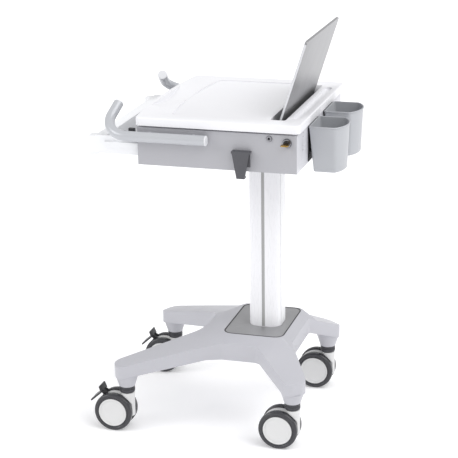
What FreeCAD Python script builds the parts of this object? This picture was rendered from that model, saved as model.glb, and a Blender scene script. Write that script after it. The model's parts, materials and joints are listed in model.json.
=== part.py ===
import FreeCAD, Part
import math
import os

# A medication cart: a cast four-legged base on twin-wheel casters, one extruded
# column, a sheet-metal cabinet with a drawer and a laptop bay under a moulded
# worktop, two tube handles, a cord hook, a cam lock and two hanging bins.
# Millimetres.  +Z is up, +Y is the rear of the cart, +X is the user's right.
# The origin is on the floor, under the centre of the cart's bounding box.

# ---- driving dimensions -------------------------------------------------
COLUMN_Y = 92.5                 # column axis behind the centre of the cart

# fits and tools
RUNNING_GAP = 0.05              # radial clearance of a shaft in its bore
MOVING_GAP = 0.3                # between moving faces that don't touch
PAST = 5.0                      # how far a cutting shape runs past what it cuts
STEP = 1.0                      # a small step between neighbouring faces
NEAR = 0.01                     # tolerance when edges are picked by place

# casters
WHEEL_R = 50.0
WHEEL_WIDTH = 18.5
WHEEL_INNER_X = 11.0            # inner face of each wheel from the caster's middle
WHEEL_ROOM = 1.5                # around each wheel in the housing
TYRE_EDGE_R = 5.0
HUB_R = 37.0
HUB_RIM = 3.0                   # width of the raised rim of the hub's face
HUB_RAISE = 1.2
HUB_DISH = 0.6
HUB_FACE_THICK = 4.0
AXLE_R = 4.0
AXLE_BOSS_R = 11.0
AXLE_SHORT = 4.0                # the axle's end inside the wheel's outer face
STEM_R = 6.0
STEM_BOTTOM_Z = 68.0
CASTER_TRAIL = 32.0
FRONT_TRACK = 199.0             # swivel axes, half the distance across
REAR_TRACK = 199.0
FRONT_CASTER_Y = COLUMN_Y - 320.0
REAR_CASTER_Y = COLUMN_Y + 116.0
NECK_R = 19.0
NECK_BOTTOM_Z = 38.0
NECK_TOP_Z = 101.0
COLLAR_R = 20.0
COLLAR_TOP_Z = 119.0
COLLAR_WAIST_Z = 111.0
COLLAR_WAIST_HEIGHT = 3.0
COLLAR_WAIST_DEPTH = 1.4
COLLAR_CHAMFER = 3.0
WEB_HALF = 7.0                  # half thickness of the housing between the wheels
WEB_R = 47.0
WEB_BOTTOM_Z = 34.0
GUARD_R = 45.0
GUARD_THICK = 3.0
PEDAL_PIVOT = (-50.0, 86.0)     # from the swivel axis, and above the floor
PEDAL_PIN_R = 2.5
PEDAL_CHEEK_R = 8.0
PEDAL_TIP = (-94.0, 73.0)       # lower tread tip
PEDAL_ROOT = (-67.0, 99.0)
PEDAL_TOP = (-71.5, 113.0)      # upper tread tip
PEDAL_THICK = 5.0
PEDAL_TIP_THICK = 3.0
PEDAL_HALF = 19.0
PEDAL_NOTCH_R = 9.0

# base casting
LEG_END_HALF = 28.0             # half the width of a leg's end
LEG_CORNER_R = 22.0
FRONT_LEG_CAP = 30.0            # flat end beyond the swivel axis
REAR_LEG_CAP = 27.0
LEG_END_BOTTOM_Z = 146.0
LEG_END_TOP_Z = 176.0
LEG_ROOM_HALF = 100.0           # a leg's sloping room is wider than the leg itself
FRONT_LEG_REACH = 236.7         # from the swivel axis back to the hub
FRONT_ROOT_TOP_Z = 239.5
FRONT_ROOT_TILT = 0.104         # rise of the root's top towards the leg's inner side
FRONT_ROOT_UNDER_Z = 198.0
FRONT_END_UNDER_Z = 143.6
REAR_LEG_REACH = 110.3
REAR_ROOT_TOP_Z = 234.0
REAR_ROOT_UNDER_Z = 194.4
REAR_END_UNDER_Z = 139.6
HUB_BOTTOM_Z = 190.0
HUB_TOP_Z = 251.0
HUB_HALF_X = 143.0
HUB_FRONT_Y = COLUMN_Y - 150.0
HUB_REAR_Y = COLUMN_Y + 88.0
FRONT_ROOT_X = 57.0             # where a front leg's inner side meets the hub
FRONT_ROOT_Y = COLUMN_Y - 84.0  # where its outer side meets the hub
REAR_ROOT_X = 90.0
REAR_ROOT_Y = COLUMN_Y + 10.0
FRONT_ROOT_R = 55.0             # radii of the concave corners between hub and legs
SIDE_ROOT_R = 30.0
REAR_ROOT_R = 30.0
SIDE_SLOPE = 0.55               # falls of the hub's top per mm outwards
FRONT_SLOPE = 0.155
REAR_SLOPE = 0.95
FRONT_CORNER_SLOPE = 0.5
REAR_CORNER_SLOPE = 1.0
FRONT_CORNER_BACK = 246.7       # from the swivel axis back to the hub's flat top
REAR_CORNER_BACK = 103.9
HUB_ROOM_PAST = 20.0            # the hub's slopes run on past its walls
RIDGE_MARGIN = 4.0              # flat top around the plate's recess
CASTING_WALL = 7.0
CAVITY_TOP_Z = 230.0
PLATE_HALF_X = 108.0
PLATE_FRONT_Y = COLUMN_Y - 88.0
PLATE_REAR_Y = COLUMN_Y + 64.0
PLATE_THICK = 2.5
PLATE_CORNER_R = 22.0
PLATE_GAP = 1.2
BOSS_TOP_R = 34.0               # the socket's taper goes on into the leg's underside
BOSS_TOP_Z = 172.0
SOCKET_TOP_R = 29.0
SOCKET_LEDGE = 0.5              # the socket's foot stands past the collar

# column
COLUMN_HALF = 42.0
COLUMN_CORNER_R = 27.0
COLUMN_WALL = 5.0
COLUMN_FOOT_Z = HUB_TOP_Z - 9.0
GROOVE_HALF = 4.0
GROOVE_DEPTH = 3.0
STRIP_THICK = 1.8
REAR_COVER_HALF = 21.0
REAR_COVER_THICK = 2.6
REAR_GROOVE = 1.2
HEAD_PLATE_THICK = 6.0
HEAD_PLATE_HALF_X = 90.0
HEAD_PLATE_FRONT_Y = COLUMN_Y - 60.0
HEAD_PLATE_REAR_Y = COLUMN_Y + 45.0
HEAD_PLATE_CORNER_R = 12.0
FOOT_GAP = 0.6                  # between the column and the cover plate

# cabinet
SHEET = 1.5
CABINET_HALF_X = 240.0
CABINET_FRONT_Y = COLUMN_Y - 257.0
CABINET_REAR_Y = COLUMN_Y + 137.0
CABINET_BOTTOM_Z = 719.0
CABINET_TOP_Z = 812.0
CABINET_FLANGE = 15.0
CABINET_EDGE_R = 3.0
ACCESSORY_HOLE_R = 2.2
ACCESSORY_HOLE_X = 178.0
ACCESSORY_HOLES_Z = (764.0, 774.0, 796.0, 806.0)
SHELF_Z = 784.5
SHELF_FRONT_Y = CABINET_FRONT_Y + 8.0
SHELF_REAR_Y = COLUMN_Y + 96.0
SHELF_LIP_TOP_Z = 808.0
SHELF_FLANGE_HEIGHT = 6.0
SHELF_FLANGE_REAR_Y = COLUMN_Y + 50.0

# worktop
WORKTOP_HALF_X = 247.0
WORKTOP_FRONT_Y = COLUMN_Y - 260.0
WORKTOP_REAR_Y = COLUMN_Y + 144.0
WORKTOP_BOW = 16.0
WORKTOP_BOTTOM_Z = 817.0
WORKTOP_TOP_Z = 837.0
WORKTOP_CORNER_R = 14.0
WORKTOP_EDGE_R = 3.5
PLINTH_HALF_X = 230.0           # the foot under the worktop that the shadow gap hides
PLINTH_FRONT_Y = CABINET_FRONT_Y + 14.0
PLINTH_REAR_Y = CABINET_REAR_Y - 4.0
PLINTH_WIDTH = 12.0
RECESS_DEPTH = 3.0
RECESS_HALF_X = 204.0
RECESS_FRONT_Y = COLUMN_Y - 181.0
RECESS_REAR_Y = COLUMN_Y + 48.0
RECESS_CORNER_R = 18.0
SCOOP_HALF_X = 95.0
SCOOP_DEPTH = 8.0
SCOOP_LENGTH = 60.0
SLOT_HALF_X = 198.0
SLOT_FRONT_Y = COLUMN_Y + 61.0
SLOT_REAR_Y = COLUMN_Y + 98.0
SLOT_CORNER_R = 6.0
PEN_TRAY_HALF_X = 178.0
PEN_TRAY_Y = COLUMN_Y + 119.0
PEN_TRAY_HALF_Y = 10.0
PEN_TRAY_DEPTH = 8.0
PEN_TRAY_FLOOR_R = 6.0

# drawer, drawn pulled out until its face stands clear of the worktop
DRAWER_HALF_X = 225.0
DRAWER_LENGTH = 330.0
DRAWER_FACE_Y = COLUMN_Y - 371.0
DRAWER_BLOCK_Y = COLUMN_Y - 391.0
DRAWER_BOTTOM_Z = 737.0
DRAWER_TOP_Z = 782.0
DRAWER_LEDGE = 28.0
DRAWER_BLOCK_WIDTH = 29.0
DRAWER_BLOCK_R = 3.0
DRAWER_BLOCK_STEP = 3.0
DRAWER_WALL = 3.0
DRAWER_INNER_R = 8.0
DRAWER_LIP_Z = 727.0
DRAWER_LIP_THICK = 2.5
DRAWER_LIP_ROOT = 6.0           # how far the lip's root runs behind the face
SLIDE_Z = 751.0
SLIDE_HEIGHT = 20.0
SLIDE_STEP = 3.0                # the moving member is this much lower at each edge
SLIDE_FIXED_WIDTH = 6.7
SLIDE_FRONT_Y = CABINET_FRONT_Y + 6.0
SLIDE_REAR_Y = COLUMN_Y + 70.0
SLIDE_SETBACK = 24.0            # the moving member's front behind the drawer's face

# handles
HANDLE_TUBE_R = 12.5
HANDLE_WALL = 2.0
HANDLE_X = 258.0
HANDLE_Z = 792.0
HANDLE_REAR_Y = COLUMN_Y - 82.0
HANDLE_BEND_Y = COLUMN_Y - 345.0
HANDLE_TIP = (170.0, COLUMN_Y - 329.0, 849.0)
HANDLE_BEND_R = 58.0
PLUG_CAP = 4.0
PLUG_SPIGOT = 12.0
PLUG_EDGE_R = 2.0
SPACER_PLACES_Y = (COLUMN_Y - 225.0, COLUMN_Y - 115.0)
SPACER_R = 9.0

# fittings on the right-hand side of the cabinet
HOOK_Y = COLUMN_Y + 4.0
HOOK_TOP_Z = 770.0
HOOK_SHOULDER_Z = 760.0
HOOK_BOTTOM_Z = 704.0
HOOK_REACH = 18.0
HOOK_HALF_TOP = 23.0
HOOK_HALF_SHOULDER = 20.0
HOOK_HALF_BOTTOM = 10.0
HOOK_THICK = 4.5
HOOK_PLATE_THICK = 3.0
HOOK_PLATE_BOTTOM_Z = 730.0
LOCK_Y = COLUMN_Y + 113.0
LOCK_Z = 793.0
LOCK_R = 11.5
LOCK_BEVEL = 1.5
LOCK_RING = 5.0
LOCK_BARREL_R = 9.5
LOCK_BARREL = 18.0
LOCK_PLUG_R = 8.0
LOCK_PLUG_FACE = 6.0
LOCK_PLUG_TAIL = 20.0
CAM_THICK = 3.0
CAM_HALF = 5.0
CAM_LOW = 7.0
CAM_HIGH = 12.0
KEY_THICK = 2.2
KEY_BLADE_HALF = 4.0
KEY_BLADE = 10.0
KEY_BOW_HALF = 9.5
KEY_BOW_START = 7.0
KEY_BOW_R = 5.0
KEY_HOLE_R = 2.5
KEY_HOLE_INSET = 6.0
KEY_TIP_X = 270.0
JACK_Y = COLUMN_Y + 70.0
JACK_Z = 802.0
JACK_R = 7.5
JACK_BEVEL = 1.0
JACK_RING = 2.5
JACK_BARREL_R = 6.0
JACK_BARREL = 14.0
JACK_HOLE_R = 3.2
JACK_HOLE_DEPTH = 10.0

# bins
BIN_X = 82.0
BIN_HALF_TOP = 56.0
BIN_HALF_BOTTOM = 50.0
BIN_BACK_TOP_Y = COLUMN_Y + 140.5
BIN_BACK_BOTTOM_Y = COLUMN_Y + 151.0
BIN_CREASE_Y = COLUMN_Y + 204.5
BIN_OUTER_TOP_Y = COLUMN_Y + 227.8
BIN_OUTER_BOTTOM_Y = COLUMN_Y + 222.0
BIN_RIM_Z = 811.0
BIN_BOTTOM_Z = 697.0
BIN_WALL = 2.4
BIN_CORNER_R = 5.0
BIN_RIM_WIDTH = 1.2
BIN_RIM_HEIGHT = 5.0
BRACKET_HALF = 48.0
BRACKET_BOTTOM_Z = 722.0
BRACKET_TOP_Z = 811.0
BRACKET_THICK = 2.0
RAIL_Z = 742.0
RAIL_HEIGHT = 15.0
RAIL_DEPTH = 7.0                # the rail's face from the cabinet
RAIL_THICK = 2.0
RAIL_FLOOR = 4.0
RAIL_HALF = 40.0
STRAP_HALF = 37.0
STRAP_GRIP = 4.5                # how far the strap reaches behind the rail
STRAP_TOP = 3.0
STRAP_ROOT_Y = CABINET_REAR_Y + 12.0

# laptop
LAPTOP_HALF_X = 172.0
LAPTOP_CORNER_R = 9.0
LAPTOP_BASE_DEPTH = 232.0
LAPTOP_BASE_THICK = 15.0
LAPTOP_HINGE_Y = COLUMN_Y + 71.0
LAPTOP_HINGE_Z = 801.0
LAPTOP_LEAN = 18.0
LAPTOP_LID_LENGTH = 232.0
LAPTOP_LID_THICK = 6.0
LAPTOP_LID_FOOT = 9.0           # the lid starts this far above its hinge line
LAPTOP_PANEL_THICK = 1.2
LAPTOP_BEZEL = 7.0
LAPTOP_CHIN = 24.0
LAPTOP_BARREL_R = 4.5
LAPTOP_BARREL_HALF = 120.0
LAPTOP_WEB_TOP = 12.0
LAPTOP_PIN_R = 2.0
LAPTOP_EAR = 8.0
LAPTOP_EAR_ROOT = 12.0
LAPTOP_EAR_LOW = 9.0
LAPTOP_REAR_GAP = 2.5           # between the keyboard half and the lid's barrel

X_AXIS = FreeCAD.Vector(1, 0, 0)
Y_AXIS = FreeCAD.Vector(0, 1, 0)
Z_AXIS = FreeCAD.Vector(0, 0, 1)

CASTERS = {
    "front_right": (FRONT_TRACK, FRONT_CASTER_Y),
    "front_left": (-FRONT_TRACK, FRONT_CASTER_Y),
    "rear_right": (REAR_TRACK, REAR_CASTER_Y),
    "rear_left": (-REAR_TRACK, REAR_CASTER_Y),
}
BRAKED = ("front_right", "front_left")


# ---- helpers ------------------------------------------------------------
def vec(x, y, z):
    return FreeCAD.Vector(x, y, z)


def block(x0, x1, y0, y1, z0, z1):
    """A box between two values on each axis."""
    return Part.makeBox(x1 - x0, y1 - y0, z1 - z0, vec(x0, y0, z0))


def drum(radius, start, length, axis):
    """A cylinder that starts at a point and runs along an axis."""
    return Part.makeCylinder(radius, length, start, axis)


def fuse(shapes):
    """One solid from several that touch or overlap."""
    return shapes[0].multiFuse(shapes[1:]).removeSplitter()


def group(shapes):
    """Separate solids kept together in one sub-part."""
    return Part.makeCompound(shapes)


def rounded(shape, radius, wanted):
    """The shape with the edges that satisfy a test rounded."""
    edges = [edge for edge in shape.Edges if wanted(edge)]
    return shape.makeFillet(radius, edges)


def is_upright(edge):
    first, last = edge.Vertexes[0].Point, edge.Vertexes[-1].Point
    return abs(first.x - last.x) < NEAR and abs(first.y - last.y) < NEAR


def at_height(edge, z):
    """Whether an edge lies flat at a height."""
    return abs(edge.BoundBox.ZMin - z) < NEAR and abs(edge.BoundBox.ZMax - z) < NEAR


def span(first, second):
    """The lower and the higher of two values."""
    return min(first, second), max(first, second)


def rounded_block(x0, x1, y0, y1, z0, z1, radius):
    """A box with its four upright edges rounded."""
    return rounded(block(x0, x1, y0, y1, z0, z1), radius, is_upright)


def extruded(points, direction):
    """A prism on a closed straight-sided outline."""
    outline = Part.makePolygon(points + [points[0]])
    return Part.Face(outline).extrude(direction)


def rounded_outline(corners, z):
    """A closed wire with an arc at each corner, given as (x, y, radius)."""
    edges = []
    ends = []
    for index, (x, y, radius) in enumerate(corners):
        here = vec(x, y, z)
        before = vec(*corners[index - 1][:2], z)
        after = vec(*corners[(index + 1) % len(corners)][:2], z)
        back, on = (before - here).normalize(), (after - here).normalize()
        half_angle = back.getAngle(on) / 2
        middle = (back + on).normalize()
        reach = radius / math.tan(half_angle)
        crown = here + middle * (radius / math.sin(half_angle) - radius)
        start, stop = here + back * reach, here + on * reach
        edges.append(Part.Arc(start, crown, stop).toShape())
        ends.append((start, stop))
    joins = [Part.LineSegment(ends[index - 1][1], ends[index][0]).toShape()
             for index in range(len(corners))]
    ordered = [edge for pair in zip(joins, edges) for edge in pair]
    return Part.Wire(ordered)


def side_profile(points, x0, x1):
    """A prism along X on an outline given as (y, z) pairs."""
    return extruded([vec(x0, y, z) for y, z in points], vec(x1 - x0, 0, 0))


def mirrored(shape):
    """The shape reflected to the other side of the cart."""
    return shape.mirror(vec(0, 0, 0), X_AXIS)


# ---- casters ------------------------------------------------------------
def wheel_clearance(cx, cy):
    """The room that a caster's two wheels turn in."""
    radius = WHEEL_R + WHEEL_ROOM
    near = WHEEL_INNER_X - MOVING_GAP
    rooms = [drum(radius, vec(cx + side * near, cy - CASTER_TRAIL, WHEEL_R),
                  WHEEL_WIDTH + PAST, X_AXIS * side) for side in (1, -1)]
    return group(rooms)


def caster_housing(cx, cy, braked):
    """The white body: a neck round the stem and a fender between the wheels."""
    axle_y = cy - CASTER_TRAIL
    width = 2 * WEB_HALF
    neck = drum(NECK_R, vec(cx, cy, NECK_BOTTOM_Z), NECK_TOP_Z - NECK_BOTTOM_Z, Z_AXIS)
    neck = neck.cut(wheel_clearance(cx, cy))
    web = drum(WEB_R, vec(cx - WEB_HALF, axle_y, WHEEL_R), width, X_AXIS)
    web = web.cut(block(cx - WHEEL_R, cx + WHEEL_R, axle_y - WHEEL_R, axle_y + WHEEL_R, 0,
                        WEB_BOTTOM_Z))
    boss_half = WHEEL_INNER_X - STEP
    boss = drum(AXLE_BOSS_R, vec(cx - boss_half, axle_y, WHEEL_R), 2 * boss_half, X_AXIS)
    body = fuse([neck, web, boss])
    body = body.cut(drum(AXLE_R, vec(cx - WHEEL_R, axle_y, WHEEL_R), 2 * WHEEL_R, X_AXIS))
    body = body.cut(drum(STEM_R + RUNNING_GAP, vec(cx, cy, STEM_BOTTOM_Z - MOVING_GAP),
                         NECK_TOP_Z, Z_AXIS))
    if braked:
        pivot = vec(cx - WHEEL_R, cy + PEDAL_PIVOT[0], PEDAL_PIVOT[1])
        body = body.cut(drum(PEDAL_PIN_R + RUNNING_GAP, pivot, 2 * WHEEL_R, X_AXIS))
    return body


def caster_guards(cx, cy, braked):
    """Two dark thread guards, one each side of the housing's web."""
    axle = vec(cx, cy - CASTER_TRAIL, WHEEL_R)
    neck = drum(NECK_R + MOVING_GAP, vec(cx, cy, 0), NECK_TOP_Z, Z_AXIS)
    pedal_y, pedal_z = cy + PEDAL_PIVOT[0], PEDAL_PIVOT[1] - PEDAL_CHEEK_R - STEP
    pedal_room = block(cx - WHEEL_R, cx + WHEEL_R, pedal_y - WHEEL_R,
                       pedal_y + 2 * PEDAL_CHEEK_R, pedal_z, NECK_TOP_Z)
    guards = []
    for side in (1, -1):
        outward = X_AXIS * side
        start = axle + outward * WEB_HALF
        guard = drum(GUARD_R, start, GUARD_THICK, outward)
        guard = guard.cut(drum(AXLE_BOSS_R, start, GUARD_THICK, outward)).cut(neck)
        if braked:
            guard = guard.cut(pedal_room)
        guards.append(guard)
    return group(guards)


def caster_axle(cx, cy):
    half = WHEEL_INNER_X + WHEEL_WIDTH - AXLE_SHORT
    return drum(AXLE_R, vec(cx - half, cy - CASTER_TRAIL, WHEEL_R), 2 * half, X_AXIS)


def revolved_about_axle(profile, cx, cy, side):
    """Turn an outline of (distance along the axle, radius) about a caster's axle."""
    axle = vec(cx, cy - CASTER_TRAIL, WHEEL_R)
    points = [axle + vec(side * along, 0, radius) for along, radius in profile]
    face = Part.Face(Part.makePolygon(points + [points[0]]))
    return face.revolve(axle, X_AXIS, 360)


def wheel_tyre(cx, cy, side):
    """A hard rubber tyre with rounded shoulders."""
    inner, outer = WHEEL_INNER_X, WHEEL_INNER_X + WHEEL_WIDTH
    tyre = revolved_about_axle([(inner, HUB_R), (inner, WHEEL_R), (outer, WHEEL_R),
                                (outer, HUB_R)], cx, cy, side)
    return rounded(tyre, TYRE_EDGE_R,
                   lambda edge: edge.BoundBox.ZMax > 2 * WHEEL_R - NEAR
                   and edge.BoundBox.XLength < NEAR)


def wheel_hub(cx, cy, side):
    """A hub with a raised rim round a shallow dish, bored to run on the axle."""
    inner, outer = WHEEL_INNER_X, WHEEL_INNER_X + WHEEL_WIDTH
    bore = AXLE_R + RUNNING_GAP
    blind = outer - HUB_FACE_THICK + MOVING_GAP
    dish_r = HUB_R - 4 * HUB_RIM
    return revolved_about_axle([
        (inner, bore), (inner, HUB_R), (outer, HUB_R), (outer + HUB_RAISE, HUB_R - HUB_RIM),
        (outer, dish_r), (outer - HUB_DISH, 0.0), (blind, 0.0), (blind, bore)],
        cx, cy, side)


def swivel_collar(cx, cy):
    """A dark waisted bearing ring under the leg's socket."""
    bottom = NECK_TOP_Z + MOVING_GAP
    ring = drum(COLLAR_R, vec(cx, cy, bottom), COLLAR_TOP_Z - bottom, Z_AXIS)
    ring = ring.makeChamfer(COLLAR_CHAMFER, [edge for edge in ring.Edges
                                             if at_height(edge, bottom)])
    groove = drum(COLLAR_R + PAST, vec(cx, cy, COLLAR_WAIST_Z), COLLAR_WAIST_HEIGHT, Z_AXIS)
    groove = groove.cut(drum(COLLAR_R - COLLAR_WAIST_DEPTH, vec(cx, cy, COLLAR_WAIST_Z),
                             COLLAR_WAIST_HEIGHT, Z_AXIS))
    bore = drum(STEM_R, vec(cx, cy, 0), LEG_END_BOTTOM_Z, Z_AXIS)
    return ring.cut(groove).cut(bore)


def caster_socket(cx, cy):
    """A tapered socket between the leg's end and the collar."""
    cone = Part.makeCone(COLLAR_R + SOCKET_LEDGE, SOCKET_TOP_R, LEG_END_BOTTOM_Z - COLLAR_TOP_Z,
                         vec(cx, cy, COLLAR_TOP_Z), Z_AXIS)
    return cone.cut(drum(STEM_R, vec(cx, cy, 0), LEG_END_BOTTOM_Z, Z_AXIS))


def caster_stem(cx, cy):
    return drum(STEM_R, vec(cx, cy, STEM_BOTTOM_Z), LEG_END_BOTTOM_Z - STEM_BOTTOM_Z, Z_AXIS)


def brake_pedal(cx, cy):
    """A rocker pedal on two cheeks, with an upper and a lower tread."""
    pivot_y, pivot_z = cy + PEDAL_PIVOT[0], PEDAL_PIVOT[1]
    (tip_y, tip_z), (root_y, root_z), (top_y, top_z) = [
        (cy + y, z) for y, z in (PEDAL_TIP, PEDAL_ROOT, PEDAL_TOP)]
    tread = side_profile([(tip_y, tip_z), (tip_y, tip_z + PEDAL_TIP_THICK), (root_y, root_z),
                          (top_y, top_z), (top_y + PEDAL_TIP_THICK, top_z + STEP),
                          (root_y + PEDAL_THICK, root_z),
                          (tip_y + PEDAL_TIP_THICK, tip_z)],
                         cx - PEDAL_HALF, cx + PEDAL_HALF)
    notch = drum(PEDAL_NOTCH_R, vec(cx, tip_y - PAST, tip_z - PAST), 4 * PAST, Y_AXIS)
    parts = [tread.cut(notch)]
    inner = WEB_HALF + MOVING_GAP
    outer = WHEEL_INNER_X - 2 * MOVING_GAP
    for side in (1, -1):
        near, far = cx + side * inner, cx + side * outer
        parts.append(drum(PEDAL_CHEEK_R, vec(near, pivot_y, pivot_z), outer - inner,
                          X_AXIS * side))
        parts.append(side_profile([(pivot_y - STEP, pivot_z - PEDAL_CHEEK_R + STEP),
                                   (pivot_y + STEP, pivot_z + PEDAL_CHEEK_R),
                                   (root_y + STEP, root_z + PEDAL_THICK),
                                   (root_y + STEP, root_z - PEDAL_THICK)], *span(near, far)))
    parts.append(drum(PEDAL_PIN_R, vec(cx - outer, pivot_y, pivot_z), 2 * outer, X_AXIS))
    return fuse(parts)


# ---- base ---------------------------------------------------------------
def leg_point(root, centre, out, aside, z):
    """A point beyond a leg's swivel axis, and aside to its right as the leg points out."""
    reach = math.hypot(centre[0] - root[0], centre[1] - root[1])
    along_x, along_y = (centre[0] - root[0]) / reach, (centre[1] - root[1]) / reach
    return vec(centre[0] + along_x * out + along_y * aside,
               centre[1] + along_y * out - along_x * aside, z)


def front_leg():
    """The right front leg's root and swivel axis."""
    root = ((FRONT_ROOT_X + HUB_HALF_X) / 2, (HUB_FRONT_Y + FRONT_ROOT_Y) / 2)
    return root, (FRONT_TRACK, FRONT_CASTER_Y)


def rear_leg():
    """The right rear leg's root and swivel axis."""
    root = ((HUB_HALF_X + REAR_ROOT_X) / 2, (REAR_ROOT_Y + HUB_REAR_Y) / 2)
    return root, (REAR_TRACK, REAR_CASTER_Y)


def base_plan(inset, height):
    """The upright prism of the base's plan, shrunk by an inset."""
    ends = [leg_point(*leg, cap, aside, 0.0)
            for leg, cap in ((front_leg(), FRONT_LEG_CAP), (rear_leg(), REAR_LEG_CAP))
            for aside in (LEG_END_HALF, -LEG_END_HALF)]
    front_in, front_out, rear_out, rear_in = [(end.x, end.y, LEG_CORNER_R) for end in ends]
    right_half = [(FRONT_ROOT_X, HUB_FRONT_Y, FRONT_ROOT_R), front_in, front_out,
                  (HUB_HALF_X, FRONT_ROOT_Y, SIDE_ROOT_R),
                  (HUB_HALF_X, REAR_ROOT_Y, SIDE_ROOT_R), rear_out, rear_in,
                  (REAR_ROOT_X, HUB_REAR_Y, REAR_ROOT_R)]
    left_half = [(-x, y, radius) for x, y, radius in reversed(right_half)]
    outline = Part.Face(rounded_outline(right_half + left_half, 0.0))
    if inset:
        outline = outline.makeOffset2D(-inset)
    return outline.extrude(vec(0, 0, height))


def leg_room(leg, cap, reach, root, end):
    """The room between a leg's sloping top and underside, from the hub to past its end."""
    root_under_z, root_top_z, tilt = root
    end_under_z, end_top_z = end
    ends = []
    for out, under_z, top_z, rise in ((-reach, root_under_z, root_top_z, tilt),
                                      (cap, end_under_z, end_top_z, 0.0)):
        corners = [leg_point(*leg, out, -LEG_ROOM_HALF, under_z),
                   leg_point(*leg, out, LEG_ROOM_HALF, under_z),
                   leg_point(*leg, out, LEG_ROOM_HALF, top_z + rise * LEG_ROOM_HALF),
                   leg_point(*leg, out, -LEG_ROOM_HALF, top_z - rise * LEG_ROOM_HALF)]
        ends.append(Part.makePolygon(corners + [corners[0]]))
    return Part.makeLoft(ends, True, True)


def corner_room(leg, back, slope, bottom, top):
    """The room under a plane that falls towards a leg, from the hub's flat top outwards."""
    far = 2 * FRONT_LEG_REACH
    points = [leg_point(*leg, out, -far, z)
              for out, z in ((-back - 2 * far, bottom), (-back + (top - bottom) / slope, bottom),
                             (-back, top), (-back - 2 * far, top))]
    across = leg_point(*leg, 0.0, far, 0.0).sub(leg_point(*leg, 0.0, -far, 0.0))
    return extruded(points, across)


def hub_room(bottom, drop):
    """The room under the hub's flat top and the slopes that fall from its edges."""
    edge = FRONT_TRACK + WHEEL_R
    front, rear = HUB_FRONT_Y - HUB_ROOM_PAST, HUB_REAR_Y + HUB_ROOM_PAST
    hub_front, hub_rear = PLATE_FRONT_Y - RIDGE_MARGIN, PLATE_REAR_Y + RIDGE_MARGIN
    shoulder = PLATE_HALF_X + RIDGE_MARGIN
    top = HUB_TOP_Z - drop
    room = side_profile([
        (front, bottom), (rear, bottom), (rear, top - REAR_SLOPE * (rear - hub_rear)),
        (hub_rear, top), (hub_front, top), (front, top - FRONT_SLOPE * (hub_front - front))],
        -edge, edge)
    edge_z = top - SIDE_SLOPE * (edge - shoulder)
    points = [(-edge, 0), (edge, 0), (edge, edge_z), (shoulder, top), (-shoulder, top),
              (-edge, edge_z)]
    room = room.common(extruded([vec(x, front, z) for x, z in points],
                                vec(0, rear - front, 0)))
    for leg, back, slope in ((front_leg(), FRONT_CORNER_BACK, FRONT_CORNER_SLOPE),
                             (rear_leg(), REAR_CORNER_BACK, REAR_CORNER_SLOPE)):
        corner = corner_room(leg, back, slope, bottom, top)
        room = room.common(corner).common(mirrored(corner))
    return room


def casting_legs():
    """The rooms of the four legs, over a floor at their ends' underside."""
    front = leg_room(front_leg(), FRONT_LEG_CAP, FRONT_LEG_REACH,
                     (FRONT_ROOT_UNDER_Z, FRONT_ROOT_TOP_Z, FRONT_ROOT_TILT),
                     (FRONT_END_UNDER_Z, LEG_END_TOP_Z))
    rear = leg_room(rear_leg(), REAR_LEG_CAP, REAR_LEG_REACH,
                    (REAR_ROOT_UNDER_Z, REAR_ROOT_TOP_Z, 0.0),
                    (REAR_END_UNDER_Z, LEG_END_TOP_Z))
    low_y = FRONT_CASTER_Y - WHEEL_R
    hub_front = PLATE_FRONT_Y - RIDGE_MARGIN
    edge = FRONT_TRACK + WHEEL_R
    front = front.common(side_profile([
        (low_y, LEG_END_BOTTOM_Z), (hub_front, LEG_END_BOTTOM_Z),
        (PLATE_REAR_Y, LEG_END_BOTTOM_Z), (PLATE_REAR_Y, HUB_TOP_Z), (hub_front, HUB_TOP_Z),
        (low_y, HUB_TOP_Z - FRONT_SLOPE * (hub_front - low_y))], -edge, edge))
    rear = rear.common(block(-edge, edge, PLATE_FRONT_Y, REAR_CASTER_Y + WHEEL_R,
                             LEG_END_BOTTOM_Z, HUB_TOP_Z))
    bosses = [Part.makeCone(SOCKET_TOP_R, BOSS_TOP_R, BOSS_TOP_Z - LEG_END_BOTTOM_Z,
                            vec(*leg[1], LEG_END_BOTTOM_Z), Z_AXIS)
              for leg in (front_leg(), rear_leg())]
    right_half = fuse([front, rear] + bosses)
    return right_half.fuse(mirrored(right_half))


def base_casting():
    """A hollow casting: a hub with a plate recess and four sloping legs."""
    casting = base_plan(0.0, HUB_TOP_Z).common(hub_room(HUB_BOTTOM_Z, 0.0)
                                               .fuse(casting_legs()))
    cavity = base_plan(CASTING_WALL, CAVITY_TOP_Z)
    cavity = cavity.common(block(-HUB_HALF_X, HUB_HALF_X, HUB_FRONT_Y + CASTING_WALL,
                                 HUB_REAR_Y - CASTING_WALL, 0, CAVITY_TOP_Z))
    casting = casting.cut(cavity.common(hub_room(0.0, CASTING_WALL)))
    pocket = rounded_block(-PLATE_HALF_X - PLATE_GAP, PLATE_HALF_X + PLATE_GAP,
                           PLATE_FRONT_Y - PLATE_GAP, PLATE_REAR_Y + PLATE_GAP,
                           HUB_TOP_Z - PLATE_THICK, HUB_TOP_Z + PAST, PLATE_CORNER_R)
    casting = casting.cut(pocket).cut(column_blank(COLUMN_FOOT_Z, HUB_TOP_Z + PAST, 0.0))
    return casting.removeSplitter()


def hub_cover_plate():
    """The brushed plate round the column's foot, set in the casting's recess."""
    plate = rounded_block(-PLATE_HALF_X, PLATE_HALF_X, PLATE_FRONT_Y, PLATE_REAR_Y,
                          HUB_TOP_Z - PLATE_THICK, HUB_TOP_Z, PLATE_CORNER_R)
    return plate.cut(column_blank(0, HUB_TOP_Z + PAST, FOOT_GAP))


def caster_sockets():
    return group([caster_socket(cx, cy) for cx, cy in CASTERS.values()])


def caster_stems():
    return group([caster_stem(cx, cy) for cx, cy in CASTERS.values()])


def swivel_collars():
    return group([swivel_collar(cx, cy) for cx, cy in CASTERS.values()])


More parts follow.
